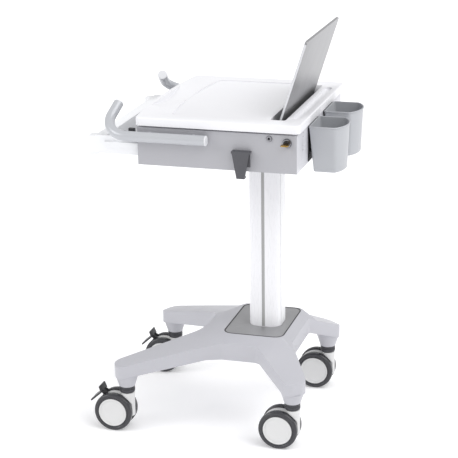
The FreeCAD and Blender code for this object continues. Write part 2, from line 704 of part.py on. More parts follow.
# ---- column -------------------------------------------------------------
def column_blank(z0, z1, grow):
    """A rounded square prism round the column's axis."""
    half = COLUMN_HALF + grow
    return rounded_block(-half, half, COLUMN_Y - half, COLUMN_Y + half, z0, z1,
                         COLUMN_CORNER_R + grow)


def column_top_z():
    return CABINET_BOTTOM_Z - HEAD_PLATE_THICK


def column():
    """A hollow extrusion with a groove in each side and a rear cover's seat."""
    top = column_top_z()
    tube = column_blank(COLUMN_FOOT_Z, top, 0.0)
    tube = tube.cut(column_blank(COLUMN_FOOT_Z - PAST, top + PAST, -COLUMN_WALL))
    for side in (1, -1):
        x0, x1 = span(side * (COLUMN_HALF - GROOVE_DEPTH), side * (COLUMN_HALF + PAST))
        tube = tube.cut(block(x0, x1, COLUMN_Y - GROOVE_HALF, COLUMN_Y + GROOVE_HALF,
                              HUB_TOP_Z, top))
    seat_half = REAR_COVER_HALF + REAR_GROOVE
    rear_y = COLUMN_Y + COLUMN_HALF
    return tube.cut(block(-seat_half, seat_half, rear_y - REAR_COVER_THICK, rear_y + PAST,
                          HUB_TOP_Z, top))


def column_side_strips():
    """Grey insert strips lying in the grooves of both sides."""
    strips = []
    for side in (1, -1):
        x0, x1 = span(side * (COLUMN_HALF - GROOVE_DEPTH),
                      side * (COLUMN_HALF - GROOVE_DEPTH + STRIP_THICK))
        strips.append(block(x0, x1, COLUMN_Y - GROOVE_HALF, COLUMN_Y + GROOVE_HALF,
                            HUB_TOP_Z, column_top_z()))
    return group(strips)


def column_rear_cover():
    """The snap-in cover of the cable channel, flush with the column's back."""
    rear_y = COLUMN_Y + COLUMN_HALF
    return block(-REAR_COVER_HALF, REAR_COVER_HALF, rear_y - REAR_COVER_THICK, rear_y,
                 HUB_TOP_Z, column_top_z())


def column_head_plate():
    """A steel flange that carries the cabinet on the column's top."""
    return rounded_block(-HEAD_PLATE_HALF_X, HEAD_PLATE_HALF_X, HEAD_PLATE_FRONT_Y,
                         HEAD_PLATE_REAR_Y, column_top_z(), CABINET_BOTTOM_Z,
                         HEAD_PLATE_CORNER_R)


# ---- cabinet ------------------------------------------------------------
def cabinet_shell():
    """A folded sheet shell, open at the front and under the worktop."""
    half = CABINET_HALF_X
    shell = block(-half, half, CABINET_FRONT_Y, CABINET_REAR_Y, CABINET_BOTTOM_Z,
                  CABINET_TOP_Z)
    shell = rounded(shell, CABINET_EDGE_R,
                    lambda edge: is_upright(edge) and edge.Vertexes[0].Y > COLUMN_Y)
    inner = block(-half + SHEET, half - SHEET, CABINET_FRONT_Y - PAST, CABINET_REAR_Y - SHEET,
                  CABINET_BOTTOM_Z + SHEET, CABINET_TOP_Z - SHEET)
    mouth = block(-half + CABINET_FLANGE, half - CABINET_FLANGE, CABINET_FRONT_Y - PAST,
                  CABINET_REAR_Y - CABINET_FLANGE, CABINET_TOP_Z - PAST, CABINET_TOP_Z + PAST)
    shell = shell.cut(inner).cut(mouth)
    for side in (1, -1):
        for z in ACCESSORY_HOLES_Z:
            hole_start = vec(side * ACCESSORY_HOLE_X, CABINET_REAR_Y - PAST, z)
            shell = shell.cut(drum(ACCESSORY_HOLE_R, hole_start, 2 * PAST, Y_AXIS))
    for radius, y, z in ((LOCK_BARREL_R, LOCK_Y, LOCK_Z), (JACK_BARREL_R, JACK_Y, JACK_Z)):
        shell = shell.cut(drum(radius, vec(half - PAST, y, z), 2 * PAST, X_AXIS))
    return shell


def laptop_shelf():
    """The bay's floor over the drawer, with a front lip and welded side flanges."""
    half = CABINET_HALF_X - SHEET
    floor = block(-half, half, SHELF_FRONT_Y, SHELF_REAR_Y, SHELF_Z, SHELF_Z + SHEET)
    lip = block(-half, half, SHELF_FRONT_Y, SHELF_FRONT_Y + SHEET, SHELF_Z, SHELF_LIP_TOP_Z)
    parts = [floor, lip]
    for side in (1, -1):
        x0, x1 = span(side * (half - SHEET), side * half)
        parts.append(block(x0, x1, SHELF_FRONT_Y, SHELF_FLANGE_REAR_Y, SHELF_Z,
                           SHELF_Z + SHELF_FLANGE_HEIGHT))
    return fuse(parts)


# ---- worktop ------------------------------------------------------------
def bowed_outline(half, front_y, rear_y, bow, z):
    """A rectangle whose front side bows forward as one arc."""
    left, right = vec(-half, front_y, z), vec(half, front_y, z)
    rear_left, rear_right = vec(-half, rear_y, z), vec(half, rear_y, z)
    front = Part.Arc(left, vec(0, front_y - bow, z), right).toShape()
    sides = [Part.LineSegment(right, rear_right).toShape(),
             Part.LineSegment(rear_right, rear_left).toShape(),
             Part.LineSegment(rear_left, left).toShape()]
    return Part.Face(Part.Wire([front] + sides))


def front_scoop():
    """A tilted drum whose underside dips the middle of the front edge."""
    radius = (SCOOP_HALF_X ** 2 + SCOOP_DEPTH ** 2) / (2 * SCOOP_DEPTH)
    edge_y = WORKTOP_FRONT_Y - WORKTOP_BOW
    tilt = math.atan2(SCOOP_DEPTH, SCOOP_LENGTH)
    along = vec(0, math.cos(tilt), math.sin(tilt))
    start = vec(0, edge_y, WORKTOP_TOP_Z - SCOOP_DEPTH + radius) - along * SCOOP_LENGTH
    return drum(radius, start, SCOOP_LENGTH * PAST, along)


def pen_tray_hollow():
    """The shape cut out of the worktop for pens, with rounded ends and floor."""
    floor_z = WORKTOP_TOP_Z - PEN_TRAY_DEPTH
    hollow = rounded_block(-PEN_TRAY_HALF_X, PEN_TRAY_HALF_X, PEN_TRAY_Y - PEN_TRAY_HALF_Y,
                           PEN_TRAY_Y + PEN_TRAY_HALF_Y, floor_z, WORKTOP_TOP_Z + PAST,
                           PEN_TRAY_HALF_Y - STEP / 2)
    return rounded(hollow, PEN_TRAY_FLOOR_R, lambda edge: at_height(edge, floor_z))


def plinth():
    """The hollow foot under the worktop that stands on the cabinet's flanges."""
    outer = block(-PLINTH_HALF_X, PLINTH_HALF_X, PLINTH_FRONT_Y, PLINTH_REAR_Y, CABINET_TOP_Z,
                  WORKTOP_BOTTOM_Z)
    inner_x = PLINTH_HALF_X - PLINTH_WIDTH
    return outer.cut(block(-inner_x, inner_x, PLINTH_FRONT_Y + PLINTH_WIDTH,
                           PLINTH_REAR_Y - PLINTH_WIDTH, CABINET_TOP_Z - PAST,
                           WORKTOP_BOTTOM_Z))


def worktop():
    """A moulded top with a work recess, laptop slot, pen tray and front scoop."""
    top = bowed_outline(WORKTOP_HALF_X, WORKTOP_FRONT_Y, WORKTOP_REAR_Y, WORKTOP_BOW,
                        WORKTOP_BOTTOM_Z)
    top = top.extrude(vec(0, 0, WORKTOP_TOP_Z - WORKTOP_BOTTOM_Z))
    top = rounded(top, WORKTOP_CORNER_R, is_upright)
    top = rounded(top, WORKTOP_EDGE_R, lambda edge: at_height(edge, WORKTOP_TOP_Z))
    recess = bowed_outline(RECESS_HALF_X, RECESS_FRONT_Y, RECESS_REAR_Y, WORKTOP_BOW,
                           WORKTOP_TOP_Z - RECESS_DEPTH)
    recess = recess.extrude(vec(0, 0, RECESS_DEPTH + PAST))
    recess = rounded(recess, RECESS_CORNER_R, is_upright)
    slot = rounded_block(-SLOT_HALF_X, SLOT_HALF_X, SLOT_FRONT_Y, SLOT_REAR_Y,
                         CABINET_TOP_Z - PAST, WORKTOP_TOP_Z + PAST, SLOT_CORNER_R)
    top = fuse([top.cut(recess), plinth()])
    return top.cut(slot).cut(pen_tray_hollow()).cut(front_scoop())


# ---- drawer -------------------------------------------------------------
def drawer_tray():
    """A moulded drawer: thick front ledge, two end blocks and a finger lip."""
    half = DRAWER_HALF_X
    inner = half - DRAWER_WALL
    back_y = DRAWER_FACE_Y + DRAWER_LENGTH
    ledge_y = DRAWER_FACE_Y + DRAWER_LEDGE
    body = block(-half, half, DRAWER_FACE_Y, back_y, DRAWER_BOTTOM_Z, DRAWER_TOP_Z)
    inside = rounded_block(-inner, inner, ledge_y, back_y - DRAWER_WALL,
                           DRAWER_BOTTOM_Z + DRAWER_WALL, DRAWER_TOP_Z + PAST, DRAWER_INNER_R)
    hollow = block(-inner, inner, DRAWER_FACE_Y + DRAWER_WALL, ledge_y - DRAWER_WALL,
                   DRAWER_BOTTOM_Z - PAST, DRAWER_TOP_Z - DRAWER_WALL)
    parts = [body.cut(inside).cut(hollow)]
    for side in (1, -1):
        x0, x1 = span(side * (half - DRAWER_BLOCK_WIDTH), side * half)
        end = block(x0, x1, DRAWER_BLOCK_Y, DRAWER_FACE_Y, DRAWER_BOTTOM_Z,
                    DRAWER_TOP_Z - DRAWER_BLOCK_STEP)
        parts.append(rounded(end, DRAWER_BLOCK_R, lambda edge: is_upright(edge)
                             and edge.Vertexes[0].Y < DRAWER_BLOCK_Y + NEAR))
    lip_y, root_y = DRAWER_BLOCK_Y + STEP, DRAWER_FACE_Y + DRAWER_LIP_ROOT
    top_z = DRAWER_BOTTOM_Z + DRAWER_LIP_THICK
    lip = [(lip_y, top_z), (lip_y, DRAWER_LIP_Z), (lip_y + DRAWER_LIP_THICK, DRAWER_LIP_Z),
           (root_y, DRAWER_BOTTOM_Z - DRAWER_LIP_THICK), (root_y, top_z)]
    parts.append(side_profile(lip, -half + STEP, half - STEP))
    return fuse(parts)


def slide_bars(inner_x, outer_x, front_y, rear_y, z0, z1):
    """A pair of straight slide members, one at each side."""
    bars = []
    for side in (1, -1):
        x0, x1 = span(side * inner_x, side * outer_x)
        bars.append(block(x0, x1, front_y, rear_y, z0, z1))
    return group(bars)


def fixed_slides():
    outer_x = CABINET_HALF_X - SHEET
    return slide_bars(outer_x - SLIDE_FIXED_WIDTH, outer_x, SLIDE_FRONT_Y, SLIDE_REAR_Y,
                      SLIDE_Z, SLIDE_Z + SLIDE_HEIGHT)


def drawer_slides():
    outer_x = CABINET_HALF_X - SHEET - SLIDE_FIXED_WIDTH - MOVING_GAP
    return slide_bars(DRAWER_HALF_X, outer_x, DRAWER_FACE_Y + SLIDE_SETBACK,
                      DRAWER_FACE_Y + DRAWER_LENGTH, SLIDE_Z + SLIDE_STEP,
                      SLIDE_Z + SLIDE_HEIGHT - SLIDE_STEP)


# ---- handles ------------------------------------------------------------
def handle_path():
    """A straight run, one bend and a rising grip, with the grip's direction."""
    rear = vec(HANDLE_X, HANDLE_REAR_Y, HANDLE_Z)
    corner = vec(HANDLE_X, HANDLE_BEND_Y, HANDLE_Z)
    tip = vec(*HANDLE_TIP)
    to_rear = (rear - corner).normalize()
    to_tip = (tip - corner).normalize()
    half_angle = to_rear.getAngle(to_tip) / 2
    reach = HANDLE_BEND_R / math.tan(half_angle)
    middle = (to_rear + to_tip).normalize()
    centre = corner + middle * (HANDLE_BEND_R / math.sin(half_angle))
    first, last = corner + to_rear * reach, corner + to_tip * reach
    crown = centre - middle * HANDLE_BEND_R
    edges = [Part.LineSegment(rear, first).toShape(), Part.Arc(first, crown, last).toShape(),
             Part.LineSegment(last, tip).toShape()]
    return Part.Wire(edges), to_tip


def handle_tube():
    """The right-hand tube, swept along its path."""
    path, _ = handle_path()
    start = vec(HANDLE_X, HANDLE_REAR_Y, HANDLE_Z)
    outer = Part.Wire(Part.Circle(start, -Y_AXIS, HANDLE_TUBE_R).toShape())
    inner = Part.Wire(Part.Circle(start, -Y_AXIS, HANDLE_TUBE_R - HANDLE_WALL).toShape())
    solid = path.makePipeShell([outer], True, False)
    bore = path.makePipeShell([inner], True, False)
    return solid.cut(bore)


def handle_end_plugs():
    """Light plastic plugs that close both ends of both tubes."""
    _, to_tip = handle_path()
    plugs = []
    for end, outward in ((vec(HANDLE_X, HANDLE_REAR_Y, HANDLE_Z), Y_AXIS),
                         (vec(*HANDLE_TIP), to_tip)):
        cap = drum(HANDLE_TUBE_R, end, PLUG_CAP, outward)
        far = end + outward * PLUG_CAP
        cap = rounded(cap, PLUG_EDGE_R, lambda edge: (edge.CenterOfMass - far).Length < NEAR)
        spigot = drum(HANDLE_TUBE_R - HANDLE_WALL, end - outward * PLUG_SPIGOT, PLUG_SPIGOT,
                      outward)
        plug = cap.fuse(spigot).removeSplitter()
        plugs += [plug, mirrored(plug)]
    return group(plugs)


def handle_spacers():
    """Round spacers that hold the tubes off the cabinet's sides."""
    pieces = []
    for y in SPACER_PLACES_Y:
        spacer = drum(SPACER_R, vec(CABINET_HALF_X, y, HANDLE_Z), HANDLE_X - CABINET_HALF_X,
                      X_AXIS)
        saddle = drum(HANDLE_TUBE_R, vec(HANDLE_X, y - 2 * SPACER_R, HANDLE_Z), 4 * SPACER_R,
                      Y_AXIS)
        spacer = spacer.cut(saddle)
        pieces += [spacer, mirrored(spacer)]
    return group(pieces)


# ---- fittings -----------------------------------------------------------
def cord_hook():
    """A moulded hook: back plate, top shelf, hanging tongue and turned-in foot."""
    x0 = CABINET_HALF_X
    x1 = x0 + HOOK_REACH
    plate = block(x0, x0 + HOOK_PLATE_THICK, HOOK_Y - HOOK_HALF_SHOULDER,
                  HOOK_Y + HOOK_HALF_SHOULDER, HOOK_PLATE_BOTTOM_Z, HOOK_TOP_Z)
    shelf = block(x0, x1, HOOK_Y - HOOK_HALF_TOP, HOOK_Y + HOOK_HALF_TOP,
                  HOOK_TOP_Z - HOOK_THICK, HOOK_TOP_Z)
    outline = [(-HOOK_HALF_TOP, HOOK_TOP_Z), (HOOK_HALF_TOP, HOOK_TOP_Z),
               (HOOK_HALF_SHOULDER, HOOK_SHOULDER_Z), (HOOK_HALF_BOTTOM, HOOK_BOTTOM_Z),
               (-HOOK_HALF_BOTTOM, HOOK_BOTTOM_Z), (-HOOK_HALF_SHOULDER, HOOK_SHOULDER_Z)]
    tongue = extruded([vec(x1 - HOOK_THICK, HOOK_Y + y, z) for y, z in outline],
                      vec(HOOK_THICK, 0, 0))
    foot = block(x0 + HOOK_PLATE_THICK, x1, HOOK_Y - HOOK_HALF_BOTTOM,
                 HOOK_Y + HOOK_HALF_BOTTOM, HOOK_BOTTOM_Z, HOOK_BOTTOM_Z + HOOK_THICK)
    return fuse([plate, shelf, tongue, foot])


def lock_bezel():
    """The cam lock's chrome ring and barrel, seated in the cabinet's side."""
    face = vec(CABINET_HALF_X, LOCK_Y, LOCK_Z)
    ring = Part.makeCone(LOCK_R, LOCK_R - LOCK_BEVEL, LOCK_RING, face, X_AXIS)
    barrel = drum(LOCK_BARREL_R, face - X_AXIS * LOCK_BARREL, LOCK_BARREL, X_AXIS)
    bore = drum(LOCK_PLUG_R + RUNNING_GAP, face - X_AXIS * LOCK_PLUG_TAIL,
                2 * LOCK_PLUG_TAIL, X_AXIS)
    return ring.fuse(barrel).removeSplitter().cut(bore)


def lock_plug():
    """The turning plug, with its latch cam inside the cabinet."""
    tail_x = CABINET_HALF_X - LOCK_PLUG_TAIL
    plug = drum(LOCK_PLUG_R, vec(tail_x, LOCK_Y, LOCK_Z), LOCK_PLUG_TAIL + LOCK_PLUG_FACE,
                X_AXIS)
    cam = block(tail_x - CAM_THICK, tail_x, LOCK_Y - CAM_HALF, LOCK_Y + CAM_HALF,
                LOCK_Z - CAM_LOW, LOCK_Z + CAM_HIGH)
    return plug.fuse(cam).removeSplitter()


def key():
    """A small key: a blade stub at the plug and a rounded bow."""
    start_x = CABINET_HALF_X + LOCK_PLUG_FACE
    z0, z1 = LOCK_Z - KEY_THICK / 2, LOCK_Z + KEY_THICK / 2
    blade = block(start_x, start_x + KEY_BLADE, LOCK_Y - KEY_BLADE_HALF,
                  LOCK_Y + KEY_BLADE_HALF, z0, z1)
    bow = rounded_block(start_x + KEY_BOW_START, KEY_TIP_X, LOCK_Y - KEY_BOW_HALF,
                        LOCK_Y + KEY_BOW_HALF, z0, z1, KEY_BOW_R)
    hole = drum(KEY_HOLE_R, vec(KEY_TIP_X - KEY_HOLE_INSET, LOCK_Y, z0 - PAST), 4 * PAST,
                Z_AXIS)
    return blade.fuse(bow).removeSplitter().cut(hole)


def charging_jack():
    """A chrome-ringed round socket in the cabinet's side."""
    face = vec(CABINET_HALF_X, JACK_Y, JACK_Z)
    ring = Part.makeCone(JACK_R, JACK_R - JACK_BEVEL, JACK_RING, face, X_AXIS)
    barrel = drum(JACK_BARREL_R, face - X_AXIS * JACK_BARREL, JACK_BARREL, X_AXIS)
    hole = drum(JACK_HOLE_R, face - X_AXIS * JACK_HOLE_DEPTH, 2 * JACK_HOLE_DEPTH, X_AXIS)
    return ring.fuse(barrel).removeSplitter().cut(hole)


# ---- bins ---------------------------------------------------------------
def bin_bracket(middle_x):
    """A bracket plate with an upturned rail that the bin's strap drops behind."""
    rear = CABINET_REAR_Y
    plate = block(middle_x - BRACKET_HALF, middle_x + BRACKET_HALF, rear,
                  rear + BRACKET_THICK, BRACKET_BOTTOM_Z, BRACKET_TOP_Z)
    front, back = rear + RAIL_DEPTH, rear + BRACKET_THICK / 2
    rail = side_profile([(back, RAIL_Z), (front, RAIL_Z), (front, RAIL_Z + RAIL_HEIGHT),
                         (front - RAIL_THICK, RAIL_Z + RAIL_HEIGHT),
                         (front - RAIL_THICK, RAIL_Z + RAIL_FLOOR), (back, RAIL_Z + RAIL_FLOOR)],
                        middle_x - RAIL_HALF, middle_x + RAIL_HALF)
    return plate.fuse(rail).removeSplitter()


def bin_section(middle_x, z, inset):
    """The bin's plan at one height: a flat back, two sides and an arched end."""
    share = (z - BIN_BOTTOM_Z) / (BIN_RIM_Z - BIN_BOTTOM_Z)
    half = BIN_HALF_BOTTOM + share * (BIN_HALF_TOP - BIN_HALF_BOTTOM) - inset
    back_y = BIN_BACK_BOTTOM_Y + share * (BIN_BACK_TOP_Y - BIN_BACK_BOTTOM_Y) + inset
    outer_y = BIN_OUTER_BOTTOM_Y + share * (BIN_OUTER_TOP_Y - BIN_OUTER_BOTTOM_Y) - inset
    crease_y = BIN_CREASE_Y - inset / 2
    back_left, back_right = vec(middle_x - half, back_y, z), vec(middle_x + half, back_y, z)
    left, right = vec(middle_x - half, crease_y, z), vec(middle_x + half, crease_y, z)
    edges = [Part.LineSegment(back_left, back_right).toShape(),
             Part.LineSegment(back_right, right).toShape(),
             Part.Arc(right, vec(middle_x, outer_y, z), left).toShape(),
             Part.LineSegment(left, back_left).toShape()]
    return Part.Wire(edges)


def bin_solid(middle_x, inset, floor_z, top_z):
    """The tapering solid between two heights, shrunk by an inset."""
    return Part.makeLoft([bin_section(middle_x, z, inset) for z in (floor_z, top_z)],
                         True, True)


def bin_cup(middle_x):
    """A thin-walled bin with a rim band and a strap that hangs on the bracket."""
    outer = bin_solid(middle_x, 0.0, BIN_BOTTOM_Z, BIN_RIM_Z)
    outer = rounded(outer, BIN_CORNER_R, lambda edge: edge.BoundBox.YMax < BIN_CREASE_Y - PAST
                    and edge.BoundBox.ZLength > PAST or at_height(edge, BIN_BOTTOM_Z))
    band = bin_solid(middle_x, -BIN_RIM_WIDTH, BIN_RIM_Z - BIN_RIM_HEIGHT, BIN_RIM_Z)
    inner = bin_solid(middle_x, BIN_WALL, BIN_BOTTOM_Z + BIN_WALL, BIN_RIM_Z + PAST)
    left, right = middle_x - STRAP_HALF, middle_x + STRAP_HALF
    rail_top = RAIL_Z + RAIL_HEIGHT
    near_y = CABINET_REAR_Y + BRACKET_THICK + MOVING_GAP
    bridge = block(left, right, near_y, STRAP_ROOT_Y, rail_top + MOVING_GAP,
                   rail_top + MOVING_GAP + STRAP_TOP)
    strap = block(left, right, near_y, near_y + RAIL_THICK, rail_top - STRAP_GRIP,
                  rail_top + MOVING_GAP + STRAP_TOP)
    return fuse([outer, band, bridge, strap]).cut(inner)


# ---- laptop -------------------------------------------------------------
def leaned(shape):
    """The upright lid's geometry tipped back about its hinge line."""
    tipped = shape.copy()
    tipped.rotate(vec(0, LAPTOP_HINGE_Y, LAPTOP_HINGE_Z), -X_AXIS, LAPTOP_LEAN)
    return tipped


def lid_slab(front, back, inset, foot):
    """A slab of the upright lid, between two depths from its hinge line."""
    half = LAPTOP_HALF_X - inset
    return block(-half, half, LAPTOP_HINGE_Y + front, LAPTOP_HINGE_Y + back,
                 LAPTOP_HINGE_Z + foot, LAPTOP_HINGE_Z + LAPTOP_LID_LENGTH - inset)


def laptop_lid():
    """The screen's metal back, its frame, its hinge barrel and two hinge pins."""
    half_thick = LAPTOP_LID_THICK / 2
    lid = lid_slab(-half_thick, half_thick, 0.0, LAPTOP_LID_FOOT)
    top_z = LAPTOP_HINGE_Z + LAPTOP_LID_LENGTH
    lid = rounded(lid, LAPTOP_CORNER_R,
                  lambda edge: at_height(edge, top_z) and edge.BoundBox.XLength < NEAR)
    room = lid_slab(-half_thick - PAST, -half_thick + LAPTOP_PANEL_THICK, LAPTOP_BEZEL,
                    LAPTOP_CHIN)
    start = vec(-LAPTOP_BARREL_HALF, LAPTOP_HINGE_Y, LAPTOP_HINGE_Z)
    barrel = drum(LAPTOP_BARREL_R, start, 2 * LAPTOP_BARREL_HALF, X_AXIS)
    web = block(-LAPTOP_BARREL_HALF, LAPTOP_BARREL_HALF, LAPTOP_HINGE_Y - half_thick,
                LAPTOP_HINGE_Y + half_thick, LAPTOP_HINGE_Z, LAPTOP_HINGE_Z + LAPTOP_WEB_TOP)
    pins = drum(LAPTOP_PIN_R, start - X_AXIS * LAPTOP_EAR,
                2 * (LAPTOP_BARREL_HALF + LAPTOP_EAR), X_AXIS)
    return leaned(fuse([lid.cut(room), barrel, web, pins]))


def laptop_display():
    """The display panel in the lid's frame."""
    half_thick = LAPTOP_LID_THICK / 2
    return leaned(lid_slab(-half_thick, -half_thick + LAPTOP_PANEL_THICK, LAPTOP_BEZEL,
                           LAPTOP_CHIN))


def laptop_base():
    """The keyboard half, lying on the shelf, with two bored hinge ears."""
    rear_y = LAPTOP_HINGE_Y - LAPTOP_BARREL_R - LAPTOP_REAR_GAP
    bottom_z = SHELF_Z + SHEET
    slab = rounded_block(-LAPTOP_HALF_X, LAPTOP_HALF_X, rear_y - LAPTOP_BASE_DEPTH, rear_y,
                         bottom_z, bottom_z + LAPTOP_BASE_THICK, LAPTOP_CORNER_R)
    parts = [slab]
    for side in (1, -1):
        x0, x1 = span(side * (LAPTOP_BARREL_HALF + MOVING_GAP),
                      side * (LAPTOP_BARREL_HALF + LAPTOP_EAR))
        parts.append(block(x0, x1, rear_y - LAPTOP_EAR_ROOT, LAPTOP_HINGE_Y + LAPTOP_BARREL_R,
                           LAPTOP_HINGE_Z - LAPTOP_EAR_LOW, LAPTOP_HINGE_Z + LAPTOP_BARREL_R))
    pin_room = drum(LAPTOP_PIN_R + RUNNING_GAP,
                    vec(-LAPTOP_HALF_X, LAPTOP_HINGE_Y, LAPTOP_HINGE_Z),
                    2 * LAPTOP_HALF_X, X_AXIS)
    return fuse(parts).cut(pin_room)


# ---- every sub-part ------------------------------------------------------
def caster_parts(label, cx, cy):
    """The pieces of one caster that swivel, by name."""
    braked = label in BRAKED
    pieces = {
        "housing": caster_housing(cx, cy, braked),
        "guards": caster_guards(cx, cy, braked),
        "axle": caster_axle(cx, cy),
    }
    for name, side in (("right", 1), ("left", -1)):
        pieces["tyre_" + name] = wheel_tyre(cx, cy, side)
        pieces["hub_" + name] = wheel_hub(cx, cy, side)
    if braked:
        pieces["pedal"] = brake_pedal(cx, cy)
    return {"caster_" + label + "_" + name: shape for name, shape in pieces.items()}


def all_parts():
    tube = handle_tube()
    parts = {
        "base_casting": base_casting(),
        "hub_cover_plate": hub_cover_plate(),
        "caster_sockets": caster_sockets(),
        "caster_stems": caster_stems(),
        "swivel_collars": swivel_collars(),
        "column": column(),
        "column_side_strips": column_side_strips(),
        "column_rear_cover": column_rear_cover(),
        "column_head_plate": column_head_plate(),
        "cabinet_shell": cabinet_shell(),
        "laptop_shelf": laptop_shelf(),
        "worktop": worktop(),
        "drawer_tray": drawer_tray(),
        "fixed_slides": fixed_slides(),
        "drawer_slides": drawer_slides(),
        "handle_right": tube,
        "handle_left": mirrored(tube),
        "handle_end_plugs": handle_end_plugs(),
        "handle_spacers": handle_spacers(),
        "cord_hook": cord_hook(),
        "lock_bezel": lock_bezel(),
        "lock_plug": lock_plug(),
        "key": key(),
        "charging_jack": charging_jack(),
        "bin_brackets": group([bin_bracket(BIN_X), bin_bracket(-BIN_X)]),
        "bin_right": bin_cup(BIN_X),
        "bin_left": bin_cup(-BIN_X),
        "laptop_lid": laptop_lid(),
        "laptop_display": laptop_display(),
        "laptop_base": laptop_base(),
    }
    for label, (cx, cy) in CASTERS.items():
        parts.update(caster_parts(label, cx, cy))
    return parts


os.makedirs("parts", exist_ok=True)
for node, shape in all_parts().items():
    shape.exportStep("parts/" + node + ".step")
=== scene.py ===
# %% [markdown]
# This lesson dresses a medication cart: a shallow white cabinet with a drawer on one
# column, a four-legged cast base and twin-wheel casters. The design comes in as a fixed
# frame of named parts. Blender adds the finishes, the light and the finer shapes, and
# nothing here moves a part of the frame.

# %% Load the frame
import json
import math

import bpy
from mathutils import Euler, Matrix, Vector


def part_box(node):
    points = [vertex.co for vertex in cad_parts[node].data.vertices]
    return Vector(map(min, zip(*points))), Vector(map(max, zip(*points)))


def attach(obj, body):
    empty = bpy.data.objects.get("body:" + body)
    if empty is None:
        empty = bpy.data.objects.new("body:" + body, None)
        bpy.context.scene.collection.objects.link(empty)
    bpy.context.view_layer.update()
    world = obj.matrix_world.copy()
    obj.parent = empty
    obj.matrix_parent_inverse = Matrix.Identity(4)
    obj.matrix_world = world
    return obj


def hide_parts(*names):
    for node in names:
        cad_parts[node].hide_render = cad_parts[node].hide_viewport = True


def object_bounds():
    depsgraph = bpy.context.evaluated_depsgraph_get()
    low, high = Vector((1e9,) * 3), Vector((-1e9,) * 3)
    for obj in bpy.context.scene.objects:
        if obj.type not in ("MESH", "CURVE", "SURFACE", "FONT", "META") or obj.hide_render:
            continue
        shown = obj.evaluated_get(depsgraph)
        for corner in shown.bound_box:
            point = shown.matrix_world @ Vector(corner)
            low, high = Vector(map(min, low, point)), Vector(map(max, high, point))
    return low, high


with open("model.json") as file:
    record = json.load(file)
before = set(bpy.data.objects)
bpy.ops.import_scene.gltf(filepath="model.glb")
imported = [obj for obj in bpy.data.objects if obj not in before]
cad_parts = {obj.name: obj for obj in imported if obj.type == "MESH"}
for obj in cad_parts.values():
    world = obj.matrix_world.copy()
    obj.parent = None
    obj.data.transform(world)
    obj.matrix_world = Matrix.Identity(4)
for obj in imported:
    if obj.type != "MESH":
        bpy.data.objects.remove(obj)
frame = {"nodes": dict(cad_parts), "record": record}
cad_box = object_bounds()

nodes = frame["nodes"]
low, high = cad_box
print("parts", len(nodes), "size in mm", [round(side * 1000) for side in high - low])

# %% [markdown]
# Every place is read from the frame, in metres. The column is the heart of the cart, so
# its axis is the reference for the camera and for the lamps.

# %% Places and colours from the frame
MM = 0.001


def centre_of(name):
    """The middle of a part's box."""
    first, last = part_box(name)
    return (first + last) / 2


def linear(hex_colour):
    """An sRGB hex colour as linear light, with full opacity."""
    channels = [int(hex_colour[i:i + 2], 16) / 255 for i in (1, 3, 5)]
    curve = [c / 12.92 if c <= 0.04045 else ((c + 0.055) / 1.055) ** 2.4 for c in channels]
    return (*curve, 1.0)


column_axis = centre_of("column") * Vector((1, 1, 0))
print("column axis in mm", [round(v * 1000, 1) for v in column_axis])

# %% [markdown]
# The camera is a long lens about four metres away, which keeps the upright edges nearly
# parallel. Its place is given from the column's foot, and its turn as a bearing, a
# height above the horizon and a slight roll.

# %% Camera
CAMERA_FROM_COLUMN = Vector((3.699, 0.9886, 1.7191))
CAMERA_BEARING = 106.42
CAMERA_RISE = 17.64
CAMERA_ROLL = -0.73
CAMERA_LENS_MM = 123.8
CAMERA_SENSOR_MM = 36.0

lens = bpy.data.cameras.new("cart_camera")
lens.lens = CAMERA_LENS_MM
lens.sensor_width = CAMERA_SENSOR_MM
camera = bpy.data.objects.new("cart_camera", lens)
bpy.context.scene.collection.objects.link(camera)
aim = Euler((math.radians(90 - CAMERA_RISE), 0, math.radians(CAMERA_BEARING))).to_matrix()
roll = Matrix.Rotation(math.radians(CAMERA_ROLL), 3, "Z")
camera.matrix_world = Matrix.LocRotScale(column_axis + CAMERA_FROM_COLUMN, aim @ roll, None)
bpy.context.scene.camera = camera
bpy.context.scene.view_settings.view_transform = "Standard"
print("camera", [round(v, 3) for v in camera.location])

# %% [markdown]
# The studio is a pale floor, an even white surround and two very large soft lights. The
# light from above and behind the cart whitens the worktop, the floor and the bins' side.
# The weaker one comes from the drawer's end and throws the hook's soft shadow.

# %% Floor, surround and soft lights
FLOOR_HALF = 14.0
LIGHT_HEIGHT = 3.0
SURROUND_STRENGTH = 0.72


def soft_light(name, towards, strength, spread):
    """An even light from one direction, whose wide disc makes the shadows soft."""
    lamp = bpy.data.lights.new(name, "SUN")
    lamp.energy = strength
    lamp.angle = math.radians(spread)
    holder = bpy.data.objects.new(name, lamp)
    bpy.context.scene.collection.objects.link(holder)
    holder.matrix_world = Matrix.LocRotScale(column_axis + Vector((0, 0, LIGHT_HEIGHT)),
                                             Vector(towards).to_track_quat("Z", "Y"), None)
    return holder


bpy.ops.object.select_all(action="DESELECT")
bpy.ops.mesh.primitive_plane_add(size=2 * FLOOR_HALF, location=(0, 0, 0))
floor = bpy.context.object
floor.name = "studio_floor"
soft_light("overhead_light", (0.10, 0.62, 0.78), 1.5, 50)
soft_light("drawer_end_light", (0.48, -0.74, 0.47), 0.85, 30)
world = bpy.data.worlds.new("white_studio")
bpy.context.scene.world = world
world.use_nodes = True
surround = world.node_tree.nodes["Background"]
surround.inputs["Color"].default_value = (1.0, 1.0, 1.0, 1.0)
surround.inputs["Strength"].default_value = SURROUND_STRENGTH

# %% [markdown]
# All materials are built from nodes. One function adds a node with its settings and
# links, and one gives a finish its grain: a noise pattern whose size is a real size in
# millimetres drives the roughness and a fine bump.

# %% Material helpers
PATCH_MM = 140.0


